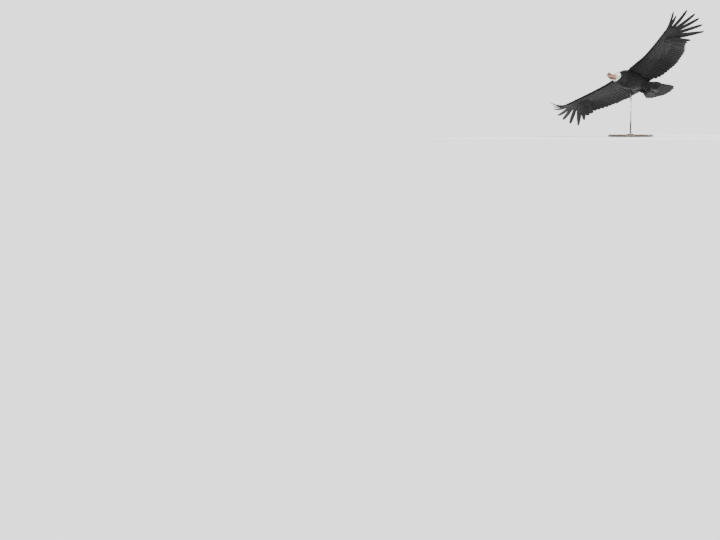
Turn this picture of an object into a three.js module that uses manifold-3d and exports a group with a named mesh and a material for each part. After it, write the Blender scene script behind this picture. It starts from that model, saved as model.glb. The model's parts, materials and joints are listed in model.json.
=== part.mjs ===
// Andean condor, an adult male in gliding flight, held banked on a plain display stand.
// Millimetres, +Z up. The origin is the centre of the base's underside.
// The bird is built in a frame of its own: x to its left, y to its tail, z to its back, with the
// origin midway between the shoulders at the height of the wings. One group then banks it.

import * as THREE from "three";
import { mergeVertices } from "three/addons/utils/BufferGeometryUtils.js";
import Module from "manifold-3d";

const wasm = await Module();
wasm.setup();

// Clearance between neighbouring pieces
const GAP = 0.3;

// Pose of the bird on the stand
const BANK_DEG = 27.8;
const PITCH_DEG = 12.1;
const SHOULDER_HEIGHT = 880;

// Wing outline in the bird's frame, as [x, y, z] from the shoulder outwards
const LEADING_EDGE = [
  [80, -58, -62], [130, -34, -28], [200, -12, -5], [300, -5, 5], [500, -52, -11], [750, -118, -15],
  [1050, -208, -16],
];
const TRAILING_EDGE = [
  [84, 322, -116], [200, 404, -96], [300, 458, -58], [400, 482, -32], [500, 473, -27],
  [600, 440, -27], [750, 378, -32], [850, 305, -48], [960, 212, -66],
];
// Rear edge of the flesh and thickness of the flesh along the wing, as [x, size]
const FLESH_REAR = [[80, 235], [300, 205], [500, 140], [750, 40], [900, -55], [1050, -140]];
const FLESH_THICK = [[80, 92], [200, 78], [350, 60], [500, 47], [750, 33], [900, 21], [1050, 11]];
// Height of the rear face of the flesh, where the quills of three layers of feathers leave it
const QUILL_DEPTH = [[80, 19], [750, 19], [950, 14], [1050, 9]];
const QUILL_SUNK = 46;
const LAYER = 6;
const CAMBER = 24;
// Stations of the wing's flesh and shares of its chord
const FLESH_STATIONS = [80, 150, 230, 340, 500, 660, 792, 910, 1000, 1042];
const CHORD_SHARES = [0, 0.08, 0.3, 0.62, 1];
const FRONT_FULLNESS = 1.5;
const WRIST_X = 792;
const HAND_TIP_X = 1042;
// The hand meets the arm along this line, seen from above
const WRIST_CUT = [[795, -36], [962, 207]];
const WRIST_BLOCK = 2000;

// Primaries from the innermost, as [tip x, tip y, tip z, width]; the last seven are slotted fingers
const PRIMARY_TIPS = [
  [985, 186, -90, 66], [1042, 160, -98, 66], [1128, 158, -112, 62], [1332, 228, -72, 60],
  [1402, 149, -26, 60], [1441, 67, 32, 57], [1450, -6, 80, 54], [1412, -104, 134, 50],
  [1292, -205, 84, 40], [1296, -245, 134, 37],
];
const FIRST_SLOTTED = 2;

// Secondaries and the feathers of the upper arm
const SECONDARIES = 19;
const SECONDARY_WIDTH = 72;
const OUTERMOST_TIP_X = 940;
const INNERMOST_ROOT_X = 104;
const INNERMOST_TIP_X = 86;
const COVERTS = 9;
const COVERT_WIDTH = 78;
const HAND_COVERTS = 4;
const HAND_COVERT_WIDTH = 60;
// How far coverts reach along the feathers that they cover
const COVERT_REACH = { above: 0.46, below: 0.4, hand: 0.44, finger: 0.34 };
const REACH_VARIES = 0.02;
const TIP_VARIES = 5;
// Places of the primaries' roots: past the wrist, short of the hand's tip, behind its front edge
const PRIMARY_ROOTS = { past: 14, short: 18, behind: 22 };
// Share of a finger's rise that its middle has
const FINGER_RISE = 0.06;
const FINGER_ROLL_DEG = 7;
const VANE_THICK = 1.2;
const QUILL_RIDGE = 2.4;
const FEATHER_ROLL_DEG = 4;

// Tail fan
const TAIL_APEX = [0, 205, -128];
const TAIL_FEATHERS = 12;
const TAIL_ROOT = 180;
const TAIL_QUILL_START = 116;
const TAIL_RADIUS = 458;
const TAIL_OUTER_RADIUS = 475;
const TAIL_HALF_SPREAD_DEG = 37.5;
const TAIL_COVERTS = 6;
// How far the tail's coverts reach from the apex, above and below, and how much less at its sides
const TAIL_COVERT_REACH = { above: 275, below: 295, less: 35, varies: 8 };
const TAIL_COVERT_WIDTH = 66;
const TAIL_COVERT_SPREAD = 0.9;
// One middle feather lies over the other
const MIDDLE_RAISED = 1.8;
// Flesh that holds the tail, as [share of the distance to the feathers' roots, half depth]
const TAIL_FLESH = [[0.2, 22], [0.5, 18], [0.78, 12], [1, 9.5]];
const TAIL_FLESH_SHARES = [-1, -0.6, 0, 0.6, 1];
const TAIL_FLESH_SPREAD = 1.08;
const TAIL_FLESH_THINNING = 0.3;
const TAIL_DROOP_DEG = 10.4;
const TAIL_ROLL_DEG = 9.6;
const TAIL_WIDTH = 67;

// Torso sections along y, as [y, half width, top z, bottom z]
const TORSO = [
  [-205, 26, -108, -172], [-190, 44, -92, -192], [-150, 78, -60, -226], [-80, 112, -22, -256],
  [0, 126, -2, -264], [80, 126, 0, -258], [160, 112, -12, -242], [230, 90, -44, -220],
  [290, 62, -84, -198], [325, 40, -108, -180], [336, 20, -124, -164],
];
const TORSO_SIDES = 18;

// Neck and ruff
const NECK_PATH = [[-170, -142], [-205, -148], [-238, -156], [-266, -163]];
const NECK_RADIUS = [[0, 44], [0.35, 39], [0.7, 35], [1, 31]];
const NECK_RINGS = 9;
const NECK_SIDES = 12;
const NECK_HEIGHTEN = 1.08;
const NECK_FOLD = 1.4;
const RUFF_CENTRE = [0, -186, -142];
// Core of the ruff, as [backwards, radius], and its rings of locks, each from a place to a place
const RUFF_CORE = [[-29, 42], [-20, 56], [-5, 65], [12, 68], [24, 62], [27, 48]];
const RUFF_RINGS = [
  { from: [-25, 44], to: [9, 80], bulge: 10 }, { from: [-6, 57], to: [38, 89], bulge: 9 },
];
const RUFF_LOCKS = 11;
const RUFF_LOCK_WIDTH = 49;
const RUFF_SIDES = 12;
// Shape of a lock, and how far one may differ from the next
const RUFF_LOCK = { thick: 5, edge: 0.3, roll: 13 };
const RUFF_VARIES = { turn: 0.05, lean: 0.1, back: 4, radius: 5, roll: 4 };

// Head, placed by its centre; sections run forwards as [forward, half width, top, bottom]
const HEAD_CENTRE = [0, -304, -160];
const SKULL = [
  [-60, 12, 6, -16], [-54, 23, 17, -27], [-38, 31, 28, -33], [-16, 34, 33, -32], [6, 31, 31, -28],
  [22, 25, 26, -23], [36, 18, 19, -18], [47, 13, 15, -14], [51, 7, 10, -9],
];
const BILL_BASE = 36;
// Upper bill along its own curve, as [forward, up, half width, half height]
const UPPER_BILL = [
  [BILL_BASE, 4.5, 12.5, 9], [47, 5, 11.8, 10], [58, 4, 10.2, 9.4], [67, 1, 8.2, 8.2],
  [74, -5, 6, 6.4], [77.5, -13, 3.8, 4.2], [77, -20, 1.3, 1.5],
];
const LOWER_BILL = [
  [BILL_BASE - 4, -9, 11.5, 6], [45, -9, 10, 5.4], [56, -8.8, 8.2, 4.8], [65, -9.4, 5.6, 3.7],
  [70.5, -10.6, 2.4, 1.7],
];
const COMB = [
  [46, 4, 21, 6], [41, 6, 33, 6], [32, 6.5, 43, 8], [20, 6.5, 52, 14], [4, 6.5, 57, 18],
  [-12, 6.2, 53, 20], [-25, 5.2, 44, 20], [-34, 3.2, 33, 20],
];
const SKULL_SIDES = 18;
const BILL_SIDES = 12;
const COMB_WAVE = 0.08;
const COMB_LEAN = 0.04;
const EYE = { side: 20.5, forward: 15, up: 9, radius: 8.8 };
const LID = { side: 27, ring: 7.4, tube: 2.4, turn: -0.24 };
// Folds of the head's skin: points as [across, forward, up], and radii at even steps along them
const FOLDS = {
  brow: { path: [[27, -1, 17], [27.5, 13, 22], [21, 29, 17]], radii: [1.5, 3.6, 4, 1.5] },
  wattle: { path: [[27, -3, 7], [33, -19, -7], [27, -43, -25]], radii: [1.5, 4.5, 5, 4, 1.5] },
  dewlap: {
    path: [[0, 34, -17], [0, 18, -29], [0, -6, -38], [0, -38, -37]], radii: [2.5, 7, 10, 11, 9, 3],
  },
};
const FOLD_SIDES = 6;
const EAR = { side: 36.5, forward: -20, up: 2, radius: 6 };
const MOUTH = { side: 24, forward: 26, up: -4.5, size: [9, 26, 1.4], dip: -0.12, turn: 0.42 };
const NOSTRIL = { side: 13.2, forward: 49, up: 8, radius: 3.4 };

// Legs, folded back under the tail
const HIP = [46, 146, -192];
const KNEE = [46, 206, -228];
const ANKLE = [42, 292, -224];
const TOE_ROOT = [44, 394, -222];
const THIGH_RADII = [30, 40, 38, 29, 20, 13];
// Tufts that fall from the thigh over the shank: where they start, how they run, their shape
const THIGH_TUFTS = 5;
const THIGH_TUFT = {
  start: 0.15, out: 22, length: 81, rise: 15, inward: 13, varies: 9, width: 30, thick: 3, edge: 0.3,
};
// Toes from the foot, as the reach to the left foot's claw and the thickness
const TOES = [
  { reach: [22, 78, 2], radius: 7 }, { reach: [2, 98, -2], radius: 7.5 },
  { reach: [-18, 74, 0], radius: 7 }, { reach: [-6, 40, -24], radius: 6 },
];
const SHANK_RADII = [9, 8.4, 10];
const SHANK_SIDES = 8;
const TOE_SIDES = 5;
const TOE_ARCH = 5;
const TOE_TAPER = [1, 1, 0.9, 0.7];
const CLAW = { reach: 15, drop: 9, tip: 1.2 };

// Stand
const BASE_RADIUS = 300;
const BASE_THICK = 30;
const BASE_EDGE = 7;
const ROD_RADIUS = 11;
// The rod runs to this depth under the shoulders before the belly is cut from it
const ROD_TOP_DEPTH = 60;
const FLANGE_RADIUS = 42;
const FLANGE_THICK = 12;
// Where the rod meets the belly, seen from above, from the point midway between the shoulders
const ROD_OFFSET = [47, 45];

const { degToRad, lerp, clamp } = THREE.MathUtils;
const vector = (x, y, z) => new THREE.Vector3(x, y, z);
const range = (count) => Array.from({ length: count }, (_, i) => i);

// Repeatable random numbers, from -1 to 1
function variation(seed) {
  let state = seed;
  return () => {
    state = (state * 1103515245 + 12345) % 2147483648;
    return (state / 2147483648) * 2 - 1;
  };
}

// A smooth curve through [place, value] pairs that never swings past them
function through(pairs) {
  const slopes = pairs.slice(1).map(([x, v], i) => (v - pairs[i][1]) / (x - pairs[i][0]));
  const tangents = pairs.map((_, i) => {
    const before = slopes[i - 1] ?? slopes[i];
    const after = slopes[i] ?? slopes[i - 1];
    return before * after <= 0 ? 0 : (2 * before * after) / (before + after);
  });
  return (x) => {
    const i = clamp(pairs.findLastIndex(([at]) => at <= x), 0, pairs.length - 2);
    const span = pairs[i + 1][0] - pairs[i][0];
    const t = clamp((x - pairs[i][0]) / span, 0, 1);
    const a = pairs[i][1];
    const b = pairs[i + 1][1];
    const ease = t * t * (3 - 2 * t);
    const leave = t * (1 - t) * (1 - t) * span * tangents[i];
    const arrive = t * t * (1 - t) * span * tangents[i + 1];
    return a + (b - a) * ease + leave - arrive;
  };
}

const column = (rows, k) => through(rows.map((row) => [row[0], row[k]]));

// Closed mesh from points and triangles, turned so that its faces point outwards
function solidFrom(points, triangles) {
  const vertProperties = new Float32Array(points.flatMap((p) => [p.x, p.y, p.z]));
  const made = new wasm.Manifold(
    new wasm.Mesh({ numProp: 3, vertProperties, triVerts: new Uint32Array(triangles.flat()) }),
  );
  return made.volume() < 0
    ? solidFrom(points, triangles.map(([a, b, c]) => [a, c, b]))
    : made;
}

// Solid from a three.js geometry
function solidOf(geometry) {
  const bare = geometry.clone();
  bare.deleteAttribute("normal");
  bare.deleteAttribute("uv");
  const merged = mergeVertices(bare);
  const place = merged.getAttribute("position");
  const points = range(place.count).map((i) => new THREE.Vector3().fromBufferAttribute(place, i));
  const corners = Array.from(merged.index.array);
  return solidFrom(points, range(corners.length / 3).map((i) => corners.slice(3 * i, 3 * i + 3)));
}

// Skins a row of closed rings of points, with a fan over each end
function loft(rings) {
  const sides = rings[0].length;
  const points = rings.flat();
  const triangles = [];
  for (let i = 0; i < rings.length - 1; i += 1) {
    for (let j = 0; j < sides; j += 1) {
      const a = i * sides + j;
      const b = i * sides + ((j + 1) % sides);
      triangles.push([a, b, b + sides], [a, b + sides, a + sides]);
    }
  }
  [0, rings.length - 1].forEach((i) => {
    const middle = points.length;
    points.push(rings[i].reduce((sum, p) => sum.add(p), vector(0, 0, 0)).divideScalar(sides));
    for (let j = 0; j < sides; j += 1) {
      const a = i * sides + j;
      const b = i * sides + ((j + 1) % sides);
      triangles.push(i === 0 ? [middle, b, a] : [middle, a, b]);
    }
  });
  return solidFrom(points, triangles);
}

// Thin closed plate between two grids of points, split into triangles alike on both faces
function plate(top, bottom) {
  const rows = top.length;
  const columns = top[0].length;
  const points = [...top.flat(), ...bottom.flat()];
  const under = rows * columns;
  const triangles = [];
  const at = (i, j) => i * columns + j;
  for (let i = 0; i < rows - 1; i += 1) {
    for (let j = 0; j < columns - 1; j += 1) {
      const [a, b, c, d] = [at(i, j), at(i, j + 1), at(i + 1, j + 1), at(i + 1, j)];
      triangles.push([a, b, c], [a, c, d]);
      triangles.push([a + under, c + under, b + under], [a + under, d + under, c + under]);
    }
  }
  const rim = [
    ...range(columns - 1).map((j) => [at(0, j), at(0, j + 1)]),
    ...range(rows - 1).map((i) => [at(i, columns - 1), at(i + 1, columns - 1)]),
    ...range(columns - 1).map((j) => [at(rows - 1, columns - 1 - j), at(rows - 1, columns - 2 - j)]),
    ...range(rows - 1).map((i) => [at(rows - 1 - i, 0), at(rows - 2 - i, 0)]),
  ];
  rim.forEach(([a, b]) => triangles.push([b, a, a + under], [b, a + under, b + under]));
  return solidFrom(points, triangles);
}

// Outlines of feathers: share of the full width at each share of the length
const BROAD = [[0, 0.25], [0.42, 1], [0.92, 0.95], [1, 0.48]];
const FINGER = [[0, 0.3], [0.25, 1.08], [0.44, 1.16], [0.62, 0.94], [0.9, 0.6], [1, 0.14]];
const LEAF = [[0, 0.35], [0.75, 1], [1, 0.42]];
const LOCK = [[0, 0.75], [0.6, 1], [1, 0.3]];

// One feather along a line, given as the point at each share of its length
function vane({ line, up, width, outline, thick = VANE_THICK, roll = 0, ridge = 0, edge = 1 }) {
  const top = [];
  const bottom = [];
  outline.forEach(([t, share]) => {
    const point = line(t);
    const along = line(t + 0.02).sub(line(t - 0.02)).normalize();
    const side = along.clone().cross(up(t)).normalize().applyAxisAngle(along, degToRad(roll));
    const normal = side.clone().cross(along).normalize();
    const half = (width / 2) * share;
    const shares = ridge > 0 ? [-1, 0, 1] : [-1, 1];
    const place = (share, face) => {
      const depth = (share === 0 ? lerp(ridge, thick, t) : lerp(thick, thick * edge, t)) / 2;
      return point.clone().addScaledVector(side, share * half).addScaledVector(normal, face * depth);
    };
    top.push(shares.map((share) => place(share, 1)));
    bottom.push(shares.map((share) => place(share, -1)));
  });
  return plate(top, bottom);
}

// Joins closed pieces and keeps the largest closed surface
function fused(pieces, cuts = []) {
  let whole = wasm.Manifold.union(pieces);
  cuts.forEach((cut) => {
    whole = whole.subtract(cut);
  });
  const bodies = whole.decompose();
  return bodies.reduce((best, body) => (body.volume() > best.volume() ? body : best));
}

// Round-sectioned limb along points, with a radius at each
function limb(points, radii, sides = 10) {
  const path = new THREE.CatmullRomCurve3(points);
  const stations = radii.length - 1;
  const frames = path.computeFrenetFrames(stations, false);
  return loft(radii.map((radius, i) => {
    const centre = path.getPointAt(i / stations);
    return range(sides).map((j) => {
      const angle = (j / sides) * 2 * Math.PI;
      return centre.clone()
        .addScaledVector(frames.normals[i], radius * Math.cos(angle))
        .addScaledVector(frames.binormals[i], radius * Math.sin(angle));
    });
  }));
}

// Body sections stacked along y: an ellipse whose widest level sits above its middle
function bodyLoft(rows, sides, grow, place) {
  return loft(rows.map(([along, width, top, bottom], i) => {
    const level = lerp(bottom, top, 0.56);
    const reach = i === 0 ? -grow : i === rows.length - 1 ? grow : 0;
    return range(sides).map((j) => {
      const angle = (j / sides) * 2 * Math.PI;
      const rise = Math.sin(angle) > 0 ? top - level + grow : level - bottom + grow;
      return place((width + grow) * Math.cos(angle), along + reach, level + rise * Math.sin(angle));
    });
  }));
}

const asBird = (x, along, z) => vector(x, along, z);
const torsoSolid = (grow = 0) => {
  const width = column(TORSO, 1);
  const top = column(TORSO, 2);
  const bottom = column(TORSO, 3);
  const stations = [
    -205, -197, -180, -150, -105, -50, 10, 75, 140, 195, 245, 290, 318, 331, 336,
  ];
  const rows = stations.map((y) => [y, width(y), top(y), bottom(y)]);
  return bodyLoft(rows, TORSO_SIDES, grow, asBird);
};

const between = (from, to, share) => [lerp(from[0], to[0], share), lerp(from[1], to[1], share)];

// Mean surface of the wing: height at a place seen from above
const leadY = column(LEADING_EDGE, 1);
const leadZ = column(LEADING_EDGE, 2);
const trailY = column(TRAILING_EDGE, 1);
const trailZ = column(TRAILING_EDGE, 2);
const fleshRear = through(FLESH_REAR);
const fleshThick = through(FLESH_THICK);
const quillDepth = through(QUILL_DEPTH);
function meanHeight(x, y) {
  const share = clamp((y - leadY(x)) / (trailY(x) - leadY(x)), -0.1, 1);
  return lerp(leadZ(x), trailZ(x), share) + CAMBER * 4 * share * (1 - share);
}
function surfaceUp(x, y) {
  const step = 20;
  const acrossX = vector(2 * step, 0, meanHeight(x + step, y) - meanHeight(x - step, y));
  const acrossY = vector(0, 2 * step, meanHeight(x, y + step) - meanHeight(x, y - step));
  return acrossX.cross(acrossY).normalize();
}

// Flesh of the wing: wing sections with a blunt rear face, which holds the quills
function wingFlesh() {
  return loft(FLESH_STATIONS.map((x) => {
    const front = leadY(x);
    const chord = fleshRear(x) - front;
    const rearDepth = quillDepth(x) / fleshThick(x);
    const point = (c, face) => {
      const fullness = FRONT_FULLNESS * (Math.sqrt(c) - c) + rearDepth * c;
      const y = front + c * chord;
      return vector(x, y, meanHeight(x, y) + face * fleshThick(x) * 0.5 * fullness);
    };
    const upper = CHORD_SHARES.slice(1).map((c) => point(c, 1));
    const lower = CHORD_SHARES.slice(1).toReversed().map((c) => point(c, -1));
    return [point(0, 0), ...upper, ...lower];
  }));
}

// Feather laid on the mean surface from a root to a tip, both seen from above
function laid({ from, to, lift, tipLift = lift, ...rest }) {
  const line = (t) => {
    const [x, y] = between(from, to, t);
    return vector(x, y, meanHeight(x, y) + lerp(lift, tipLift, t));
  };
  return vane({ line, up: (t) => surfaceUp(...between(from, to, clamp(t, 0, 1))), ...rest });
}

// Root and tip of each secondary, seen from above, from the wrist inwards
function secondaryLines(count) {
  return range(count).map((k) => {
    const share = k / (count - 1);
    const rootX = lerp(WRIST_X - 6, INNERMOST_ROOT_X, share);
    const tipX = lerp(OUTERMOST_TIP_X, INNERMOST_TIP_X, share);
    return { from: [rootX, fleshRear(rootX) - QUILL_SUNK], to: [tipX, trailY(tipX)] };
  });
}

function armFeathers(seed) {
  const vary = variation(seed);
  const roll = -FEATHER_ROLL_DEG;
  const lines = secondaryLines(SECONDARIES);
  const secondaries = lines.map(({ from, to }) => laid({
    from, to: [to[0], to[1] + TIP_VARIES * vary()], lift: 0, width: SECONDARY_WIDTH,
    outline: BROAD, roll,
  }));
  const coverts = [1, -1].flatMap((face) => secondaryLines(COVERTS).map(({ from, to }) => {
    const reach = (face > 0 ? COVERT_REACH.above : COVERT_REACH.below) + REACH_VARIES * vary();
    const end = between(from, to, reach);
    return laid({ from, to: end, lift: face * LAYER, width: COVERT_WIDTH, outline: LEAF, roll });
  }));
  return [...secondaries, ...coverts];
}

// Centre line of a primary: in the wing's plane at the root, bending upwards to its tip
function primaryLine(k) {
  const [tipX, tipY, tipZ] = PRIMARY_TIPS[k];
  const share = k / (PRIMARY_TIPS.length - 1);
  const rootX = lerp(WRIST_X + PRIMARY_ROOTS.past, HAND_TIP_X - PRIMARY_ROOTS.short, share);
  const rearY = fleshRear(rootX) - QUILL_SUNK;
  const rootY = lerp(rearY, leadY(rootX) + PRIMARY_ROOTS.behind, share ** 3);
  const root = vector(rootX, rootY, meanHeight(rootX, rootY));
  const tip = vector(tipX, tipY, tipZ);
  const middle = root.clone().lerp(tip, 0.5);
  middle.z = lerp(root.z, tip.z, tip.z > root.z ? FINGER_RISE : 0.5);
  return new THREE.QuadraticBezierCurve3(root, middle, tip);
}

function handFeathers(seed) {
  const vary = variation(seed);
  const up = () => vector(0, 0, 1);
  const primaries = PRIMARY_TIPS.map(([, , , width], k) => {
    const curve = primaryLine(k);
    const slotted = k >= FIRST_SLOTTED;
    return vane({
      line: (t) => curve.getPoint(t), up, width, roll: slotted ? -FINGER_ROLL_DEG : -FEATHER_ROLL_DEG,
      outline: slotted ? FINGER : BROAD, ridge: QUILL_RIDGE, edge: 0.6,
    });
  });
  const coverts = [1, -1].flatMap((face) => range(HAND_COVERTS).map((i) => {
    const k = 2 * i + 1;
    const curve = primaryLine(k);
    const share = k >= FIRST_SLOTTED ? COVERT_REACH.finger : COVERT_REACH.hand;
    const reach = share + REACH_VARIES * vary();
    const line = (t) => curve.getPoint(t * reach).add(vector(0, 0, face * LAYER));
    return vane({ line, up, width: HAND_COVERT_WIDTH, roll: -FEATHER_ROLL_DEG, outline: LEAF });
  }));
  return [...primaries, ...coverts];
}

// Block that covers all beyond the wrist line on one of its sides, and half the gap past it
function beyondWrist(side) {
  const [from, to] = WRIST_CUT;
  const slab = new THREE.BoxGeometry(WRIST_BLOCK, WRIST_BLOCK, WRIST_BLOCK);
  slab.translate(0, (side * (WRIST_BLOCK - GAP)) / 2, 0);
  slab.rotateZ(Math.atan2(to[1] - from[1], to[0] - from[0]));
  slab.translate(from[0], from[1], 0);
  return solidOf(slab);
}

const mirrored = (solid, side) => (side > 0 ? solid : solid.mirror([1, 0, 0]));

function wingArm(side, clear) {
  const whole = fused([wingFlesh(), ...armFeathers(side > 0 ? 11 : 29)]);
  return fused([mirrored(whole.subtract(beyondWrist(-1)), side)], clear);
}

function wingHand(side) {
  const whole = fused([wingFlesh(), ...handFeathers(side > 0 ? 17 : 41)]);
  return fused([mirrored(whole.subtract(beyondWrist(1)), side)]);
}

// Tail feathers fan from one point; the fan droops, and turns about its length towards its end
function tailPoint(angle, radius, lift) {
  const point = vector(radius * Math.sin(angle), radius * Math.cos(angle), lift);
  const turned = 0.5 + (0.5 * radius) / TAIL_RADIUS;
  point.applyAxisAngle(vector(0, 1, 0), degToRad(TAIL_ROLL_DEG) * turned);
  point.applyAxisAngle(vector(1, 0, 0), -degToRad(TAIL_DROOP_DEG));
  return point.add(vector(...TAIL_APEX));
}

function tailVane(angle, end, lift, rest) {
  const up = () => tailPoint(0, 0, 1).sub(tailPoint(0, 0, 0));
  return vane({ line: (t) => tailPoint(angle, lerp(TAIL_QUILL_START, end, t), lift), up, ...rest });
}

// Flesh that carries the tail: a wedge whose rear face is an arc about the apex of the fan
function tailFlesh(spread) {
  const shares = TAIL_FLESH_SHARES;
  return loft(TAIL_FLESH.map(([share, half]) => {
    const point = (k, face) => {
      const depth = half * (1 - TAIL_FLESH_THINNING * k * k);
      return tailPoint(k * spread * TAIL_FLESH_SPREAD, share * TAIL_ROOT, face * depth);
    };
    return [...shares.map((k) => point(k, 1)), ...shares.toReversed().map((k) => point(k, -1))];
  }));
}

function tail(clear) {
  const vary = variation(7);
  const spread = degToRad(TAIL_HALF_SPREAD_DEG);
  const feathers = range(TAIL_FEATHERS).map((k) => {
    const share = ((k + 0.5) / TAIL_FEATHERS) * 2 - 1;
    const reach = lerp(TAIL_RADIUS, TAIL_OUTER_RADIUS, share * share) + TIP_VARIES * vary();
    return tailVane(share * spread, reach, k === TAIL_FEATHERS / 2 ? MIDDLE_RAISED : 0, {
      width: TAIL_WIDTH, roll: Math.sign(share) * FEATHER_ROLL_DEG, ridge: QUILL_RIDGE, outline: BROAD,
    });
  });
  const coverts = [1, -1].flatMap((face) => range(TAIL_COVERTS).map((k) => {
    const share = ((k + 0.5) / TAIL_COVERTS) * 2 - 1;
    const { above, below, less, varies } = TAIL_COVERT_REACH;
    const reach = (face > 0 ? above : below) - less * Math.abs(share) + varies * vary();
    const lift = face * (LAYER + (k === TAIL_COVERTS / 2 ? MIDDLE_RAISED : 0));
    return tailVane(share * spread * TAIL_COVERT_SPREAD, reach, lift, {
      width: TAIL_COVERT_WIDTH, roll: Math.sign(share) * FEATHER_ROLL_DEG, outline: LEAF,
    });
  }));
  return fused([tailFlesh(spread), ...feathers, ...coverts], clear);
}

function neckSolid(grow = 0) {
  const path = new THREE.CatmullRomCurve3(NECK_PATH.map(([y, z]) => vector(0, y, z)));
  const radius = through(NECK_RADIUS);
  return loft(range(NECK_RINGS).map((i) => {
    const t = i / (NECK_RINGS - 1);
    const centre = path.getPoint(t);
    const fold = i % 2 ? NECK_FOLD : -NECK_FOLD;
    return range(NECK_SIDES).map((j) => {
      const angle = (j / NECK_SIDES) * 2 * Math.PI;
      const size = radius(t) + fold + grow;
      const rise = size * NECK_HEIGHTEN * Math.sin(angle);
      return centre.clone().add(vector(size * Math.cos(angle), 0, rise));
    });
  }));
}

function ruff(clear) {
  const vary = variation(3);
  const place = (angle, back, radius) => vector(
    RUFF_CENTRE[0] + radius * Math.cos(angle), RUFF_CENTRE[1] + back,
    RUFF_CENTRE[2] + radius * Math.sin(angle),
  );
  const core = loft(RUFF_CORE.map(([back, radius]) => range(RUFF_SIDES).map((j) => (
    place((j / RUFF_SIDES) * 2 * Math.PI, back, radius)
  ))));
  const locks = RUFF_RINGS.flatMap(({ from, to, bulge }, ring) => range(RUFF_LOCKS).map((k) => {
    const step = (k + ring / RUFF_RINGS.length) / RUFF_LOCKS;
    const angle = step * 2 * Math.PI + RUFF_VARIES.turn * vary();
    const lean = RUFF_VARIES.lean * vary();
    const end = [to[0] + RUFF_VARIES.back * vary(), to[1] + RUFF_VARIES.radius * vary()];
    const line = (t) => {
      const [back, radius] = between(from, end, t);
      return place(angle + lean * t, back, radius + bulge * 4 * t * (1 - t));
    };
    const up = () => place(angle, 0, 1).sub(place(angle, 0, 0));
    const roll = RUFF_LOCK.roll + RUFF_VARIES.roll * vary();
    return vane({ line, up, width: RUFF_LOCK_WIDTH, outline: LOCK, ...RUFF_LOCK, roll });
  }));
  return fused([core, ...locks], clear);
}

// Point of the head: across, forwards and up from its centre
const asHead = (x, forward, up) => vector(x, -forward, up).add(vector(...HEAD_CENTRE));
const skullSolid = (grow = 0) => bodyLoft(SKULL, SKULL_SIDES, grow, asHead);

function billSolid(rows, grow = 0) {
  const path = new THREE.CatmullRomCurve3(rows.map(([forward, up]) => vector(0, forward, up)));
  return loft(rows.map(([, , width, height], i) => {
    const t = i / (rows.length - 1);
    const centre = path.getPoint(t);
    const along = path.getTangent(t);
    const rise = vector(0, -along.z, along.y);
    return range(BILL_SIDES).map((j) => {
      const angle = (j / BILL_SIDES) * 2 * Math.PI;
      const across = (width + grow) * Math.cos(angle);
      const lift = (height + grow) * Math.sin(angle);
      return asHead(across, centre.y + rise.y * lift, centre.z + rise.z * lift);
    });
  }));
}

const ballAt = (point, radius, across = 12, down = 6) => {
  const ball = new THREE.SphereGeometry(radius, across, down);
  ball.rotateX(Math.PI / 2);
  ball.translate(point.x, point.y, point.z);
  return solidOf(ball);
};
// Place of a paired feature of the head on one side
const paired = ({ side, forward, up }, hand) => asHead(hand * side, forward, up);

function head(clear) {
  const lids = [1, -1].map((hand) => {
    const ring = new THREE.TorusGeometry(LID.ring, LID.tube, 5, 10);
    ring.rotateY((hand * Math.PI) / 2).rotateZ(hand * LID.turn);
    const { x, y, z } = asHead(hand * LID.side, EYE.forward, EYE.up);
    return solidOf(ring.translate(x, y, z));
  });
  const fold = ({ path, radii }, hand) => (
    limb(path.map(([x, forward, up]) => asHead(hand * x, forward, up)), radii, FOLD_SIDES)
  );
  const folds = [1, -1].flatMap((hand) => [fold(FOLDS.brow, hand), fold(FOLDS.wattle, hand)]);
  const hollows = [1, -1].flatMap((hand) => {
    const slit = new THREE.BoxGeometry(...MOUTH.size);
    slit.rotateX(MOUTH.dip).rotateZ(hand * MOUTH.turn);
    const { x, y, z } = paired(MOUTH, hand);
    const ear = ballAt(paired(EAR, hand), EAR.radius, 8, 6);
    return [solidOf(slit.translate(x, y, z)), ear, ballAt(paired(EYE, hand), EYE.radius + GAP)];
  });
  return fused([skullSolid(), ...lids, ...folds, fold(FOLDS.dewlap, 1)], [...hollows, ...clear]);
}

function combSolid() {
  return loft(COMB.map(([forward, width, top, bottom], i) => range(BILL_SIDES).map((j) => {
    const angle = (j / BILL_SIDES) * 2 * Math.PI;
    const middle = (top + bottom) / 2;
    const wave = 1 + COMB_WAVE * Math.sin(i * 2.4);
    const lean = COMB_LEAN * (Math.sin(angle) > 0 ? top - middle : 0);
    const across = width * wave * Math.cos(angle) + lean;
    return asHead(across, forward, middle + (top - middle) * Math.sin(angle));
  })));
}

const sided = ([x, y, z], side) => vector(side * x, y, z);

function thigh(side, clear) {
  const flesh = limb([HIP, KNEE, ANKLE].map((point) => sided(point, side)), THIGH_RADII);
  const vary = variation(side > 0 ? 5 : 23);
  const { start, out, length, rise, inward, varies, ...shape } = THIGH_TUFT;
  const tufts = range(THIGH_TUFTS).map((k) => {
    const angle = (k / THIGH_TUFTS) * 2 * Math.PI;
    const outward = vector(Math.cos(angle), 0, Math.sin(angle));
    const root = sided(KNEE, side).lerp(sided(ANKLE, side), start).addScaledVector(outward, out);
    const flare = varies * vary() - inward;
    const line = (t) => root.clone().add(vector(0, length * t, rise * t))
      .addScaledVector(outward, flare * t);
    return vane({ line, up: () => outward, outline: LOCK, ...shape });
  });
  return fused([flesh, ...tufts], clear);
}

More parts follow.
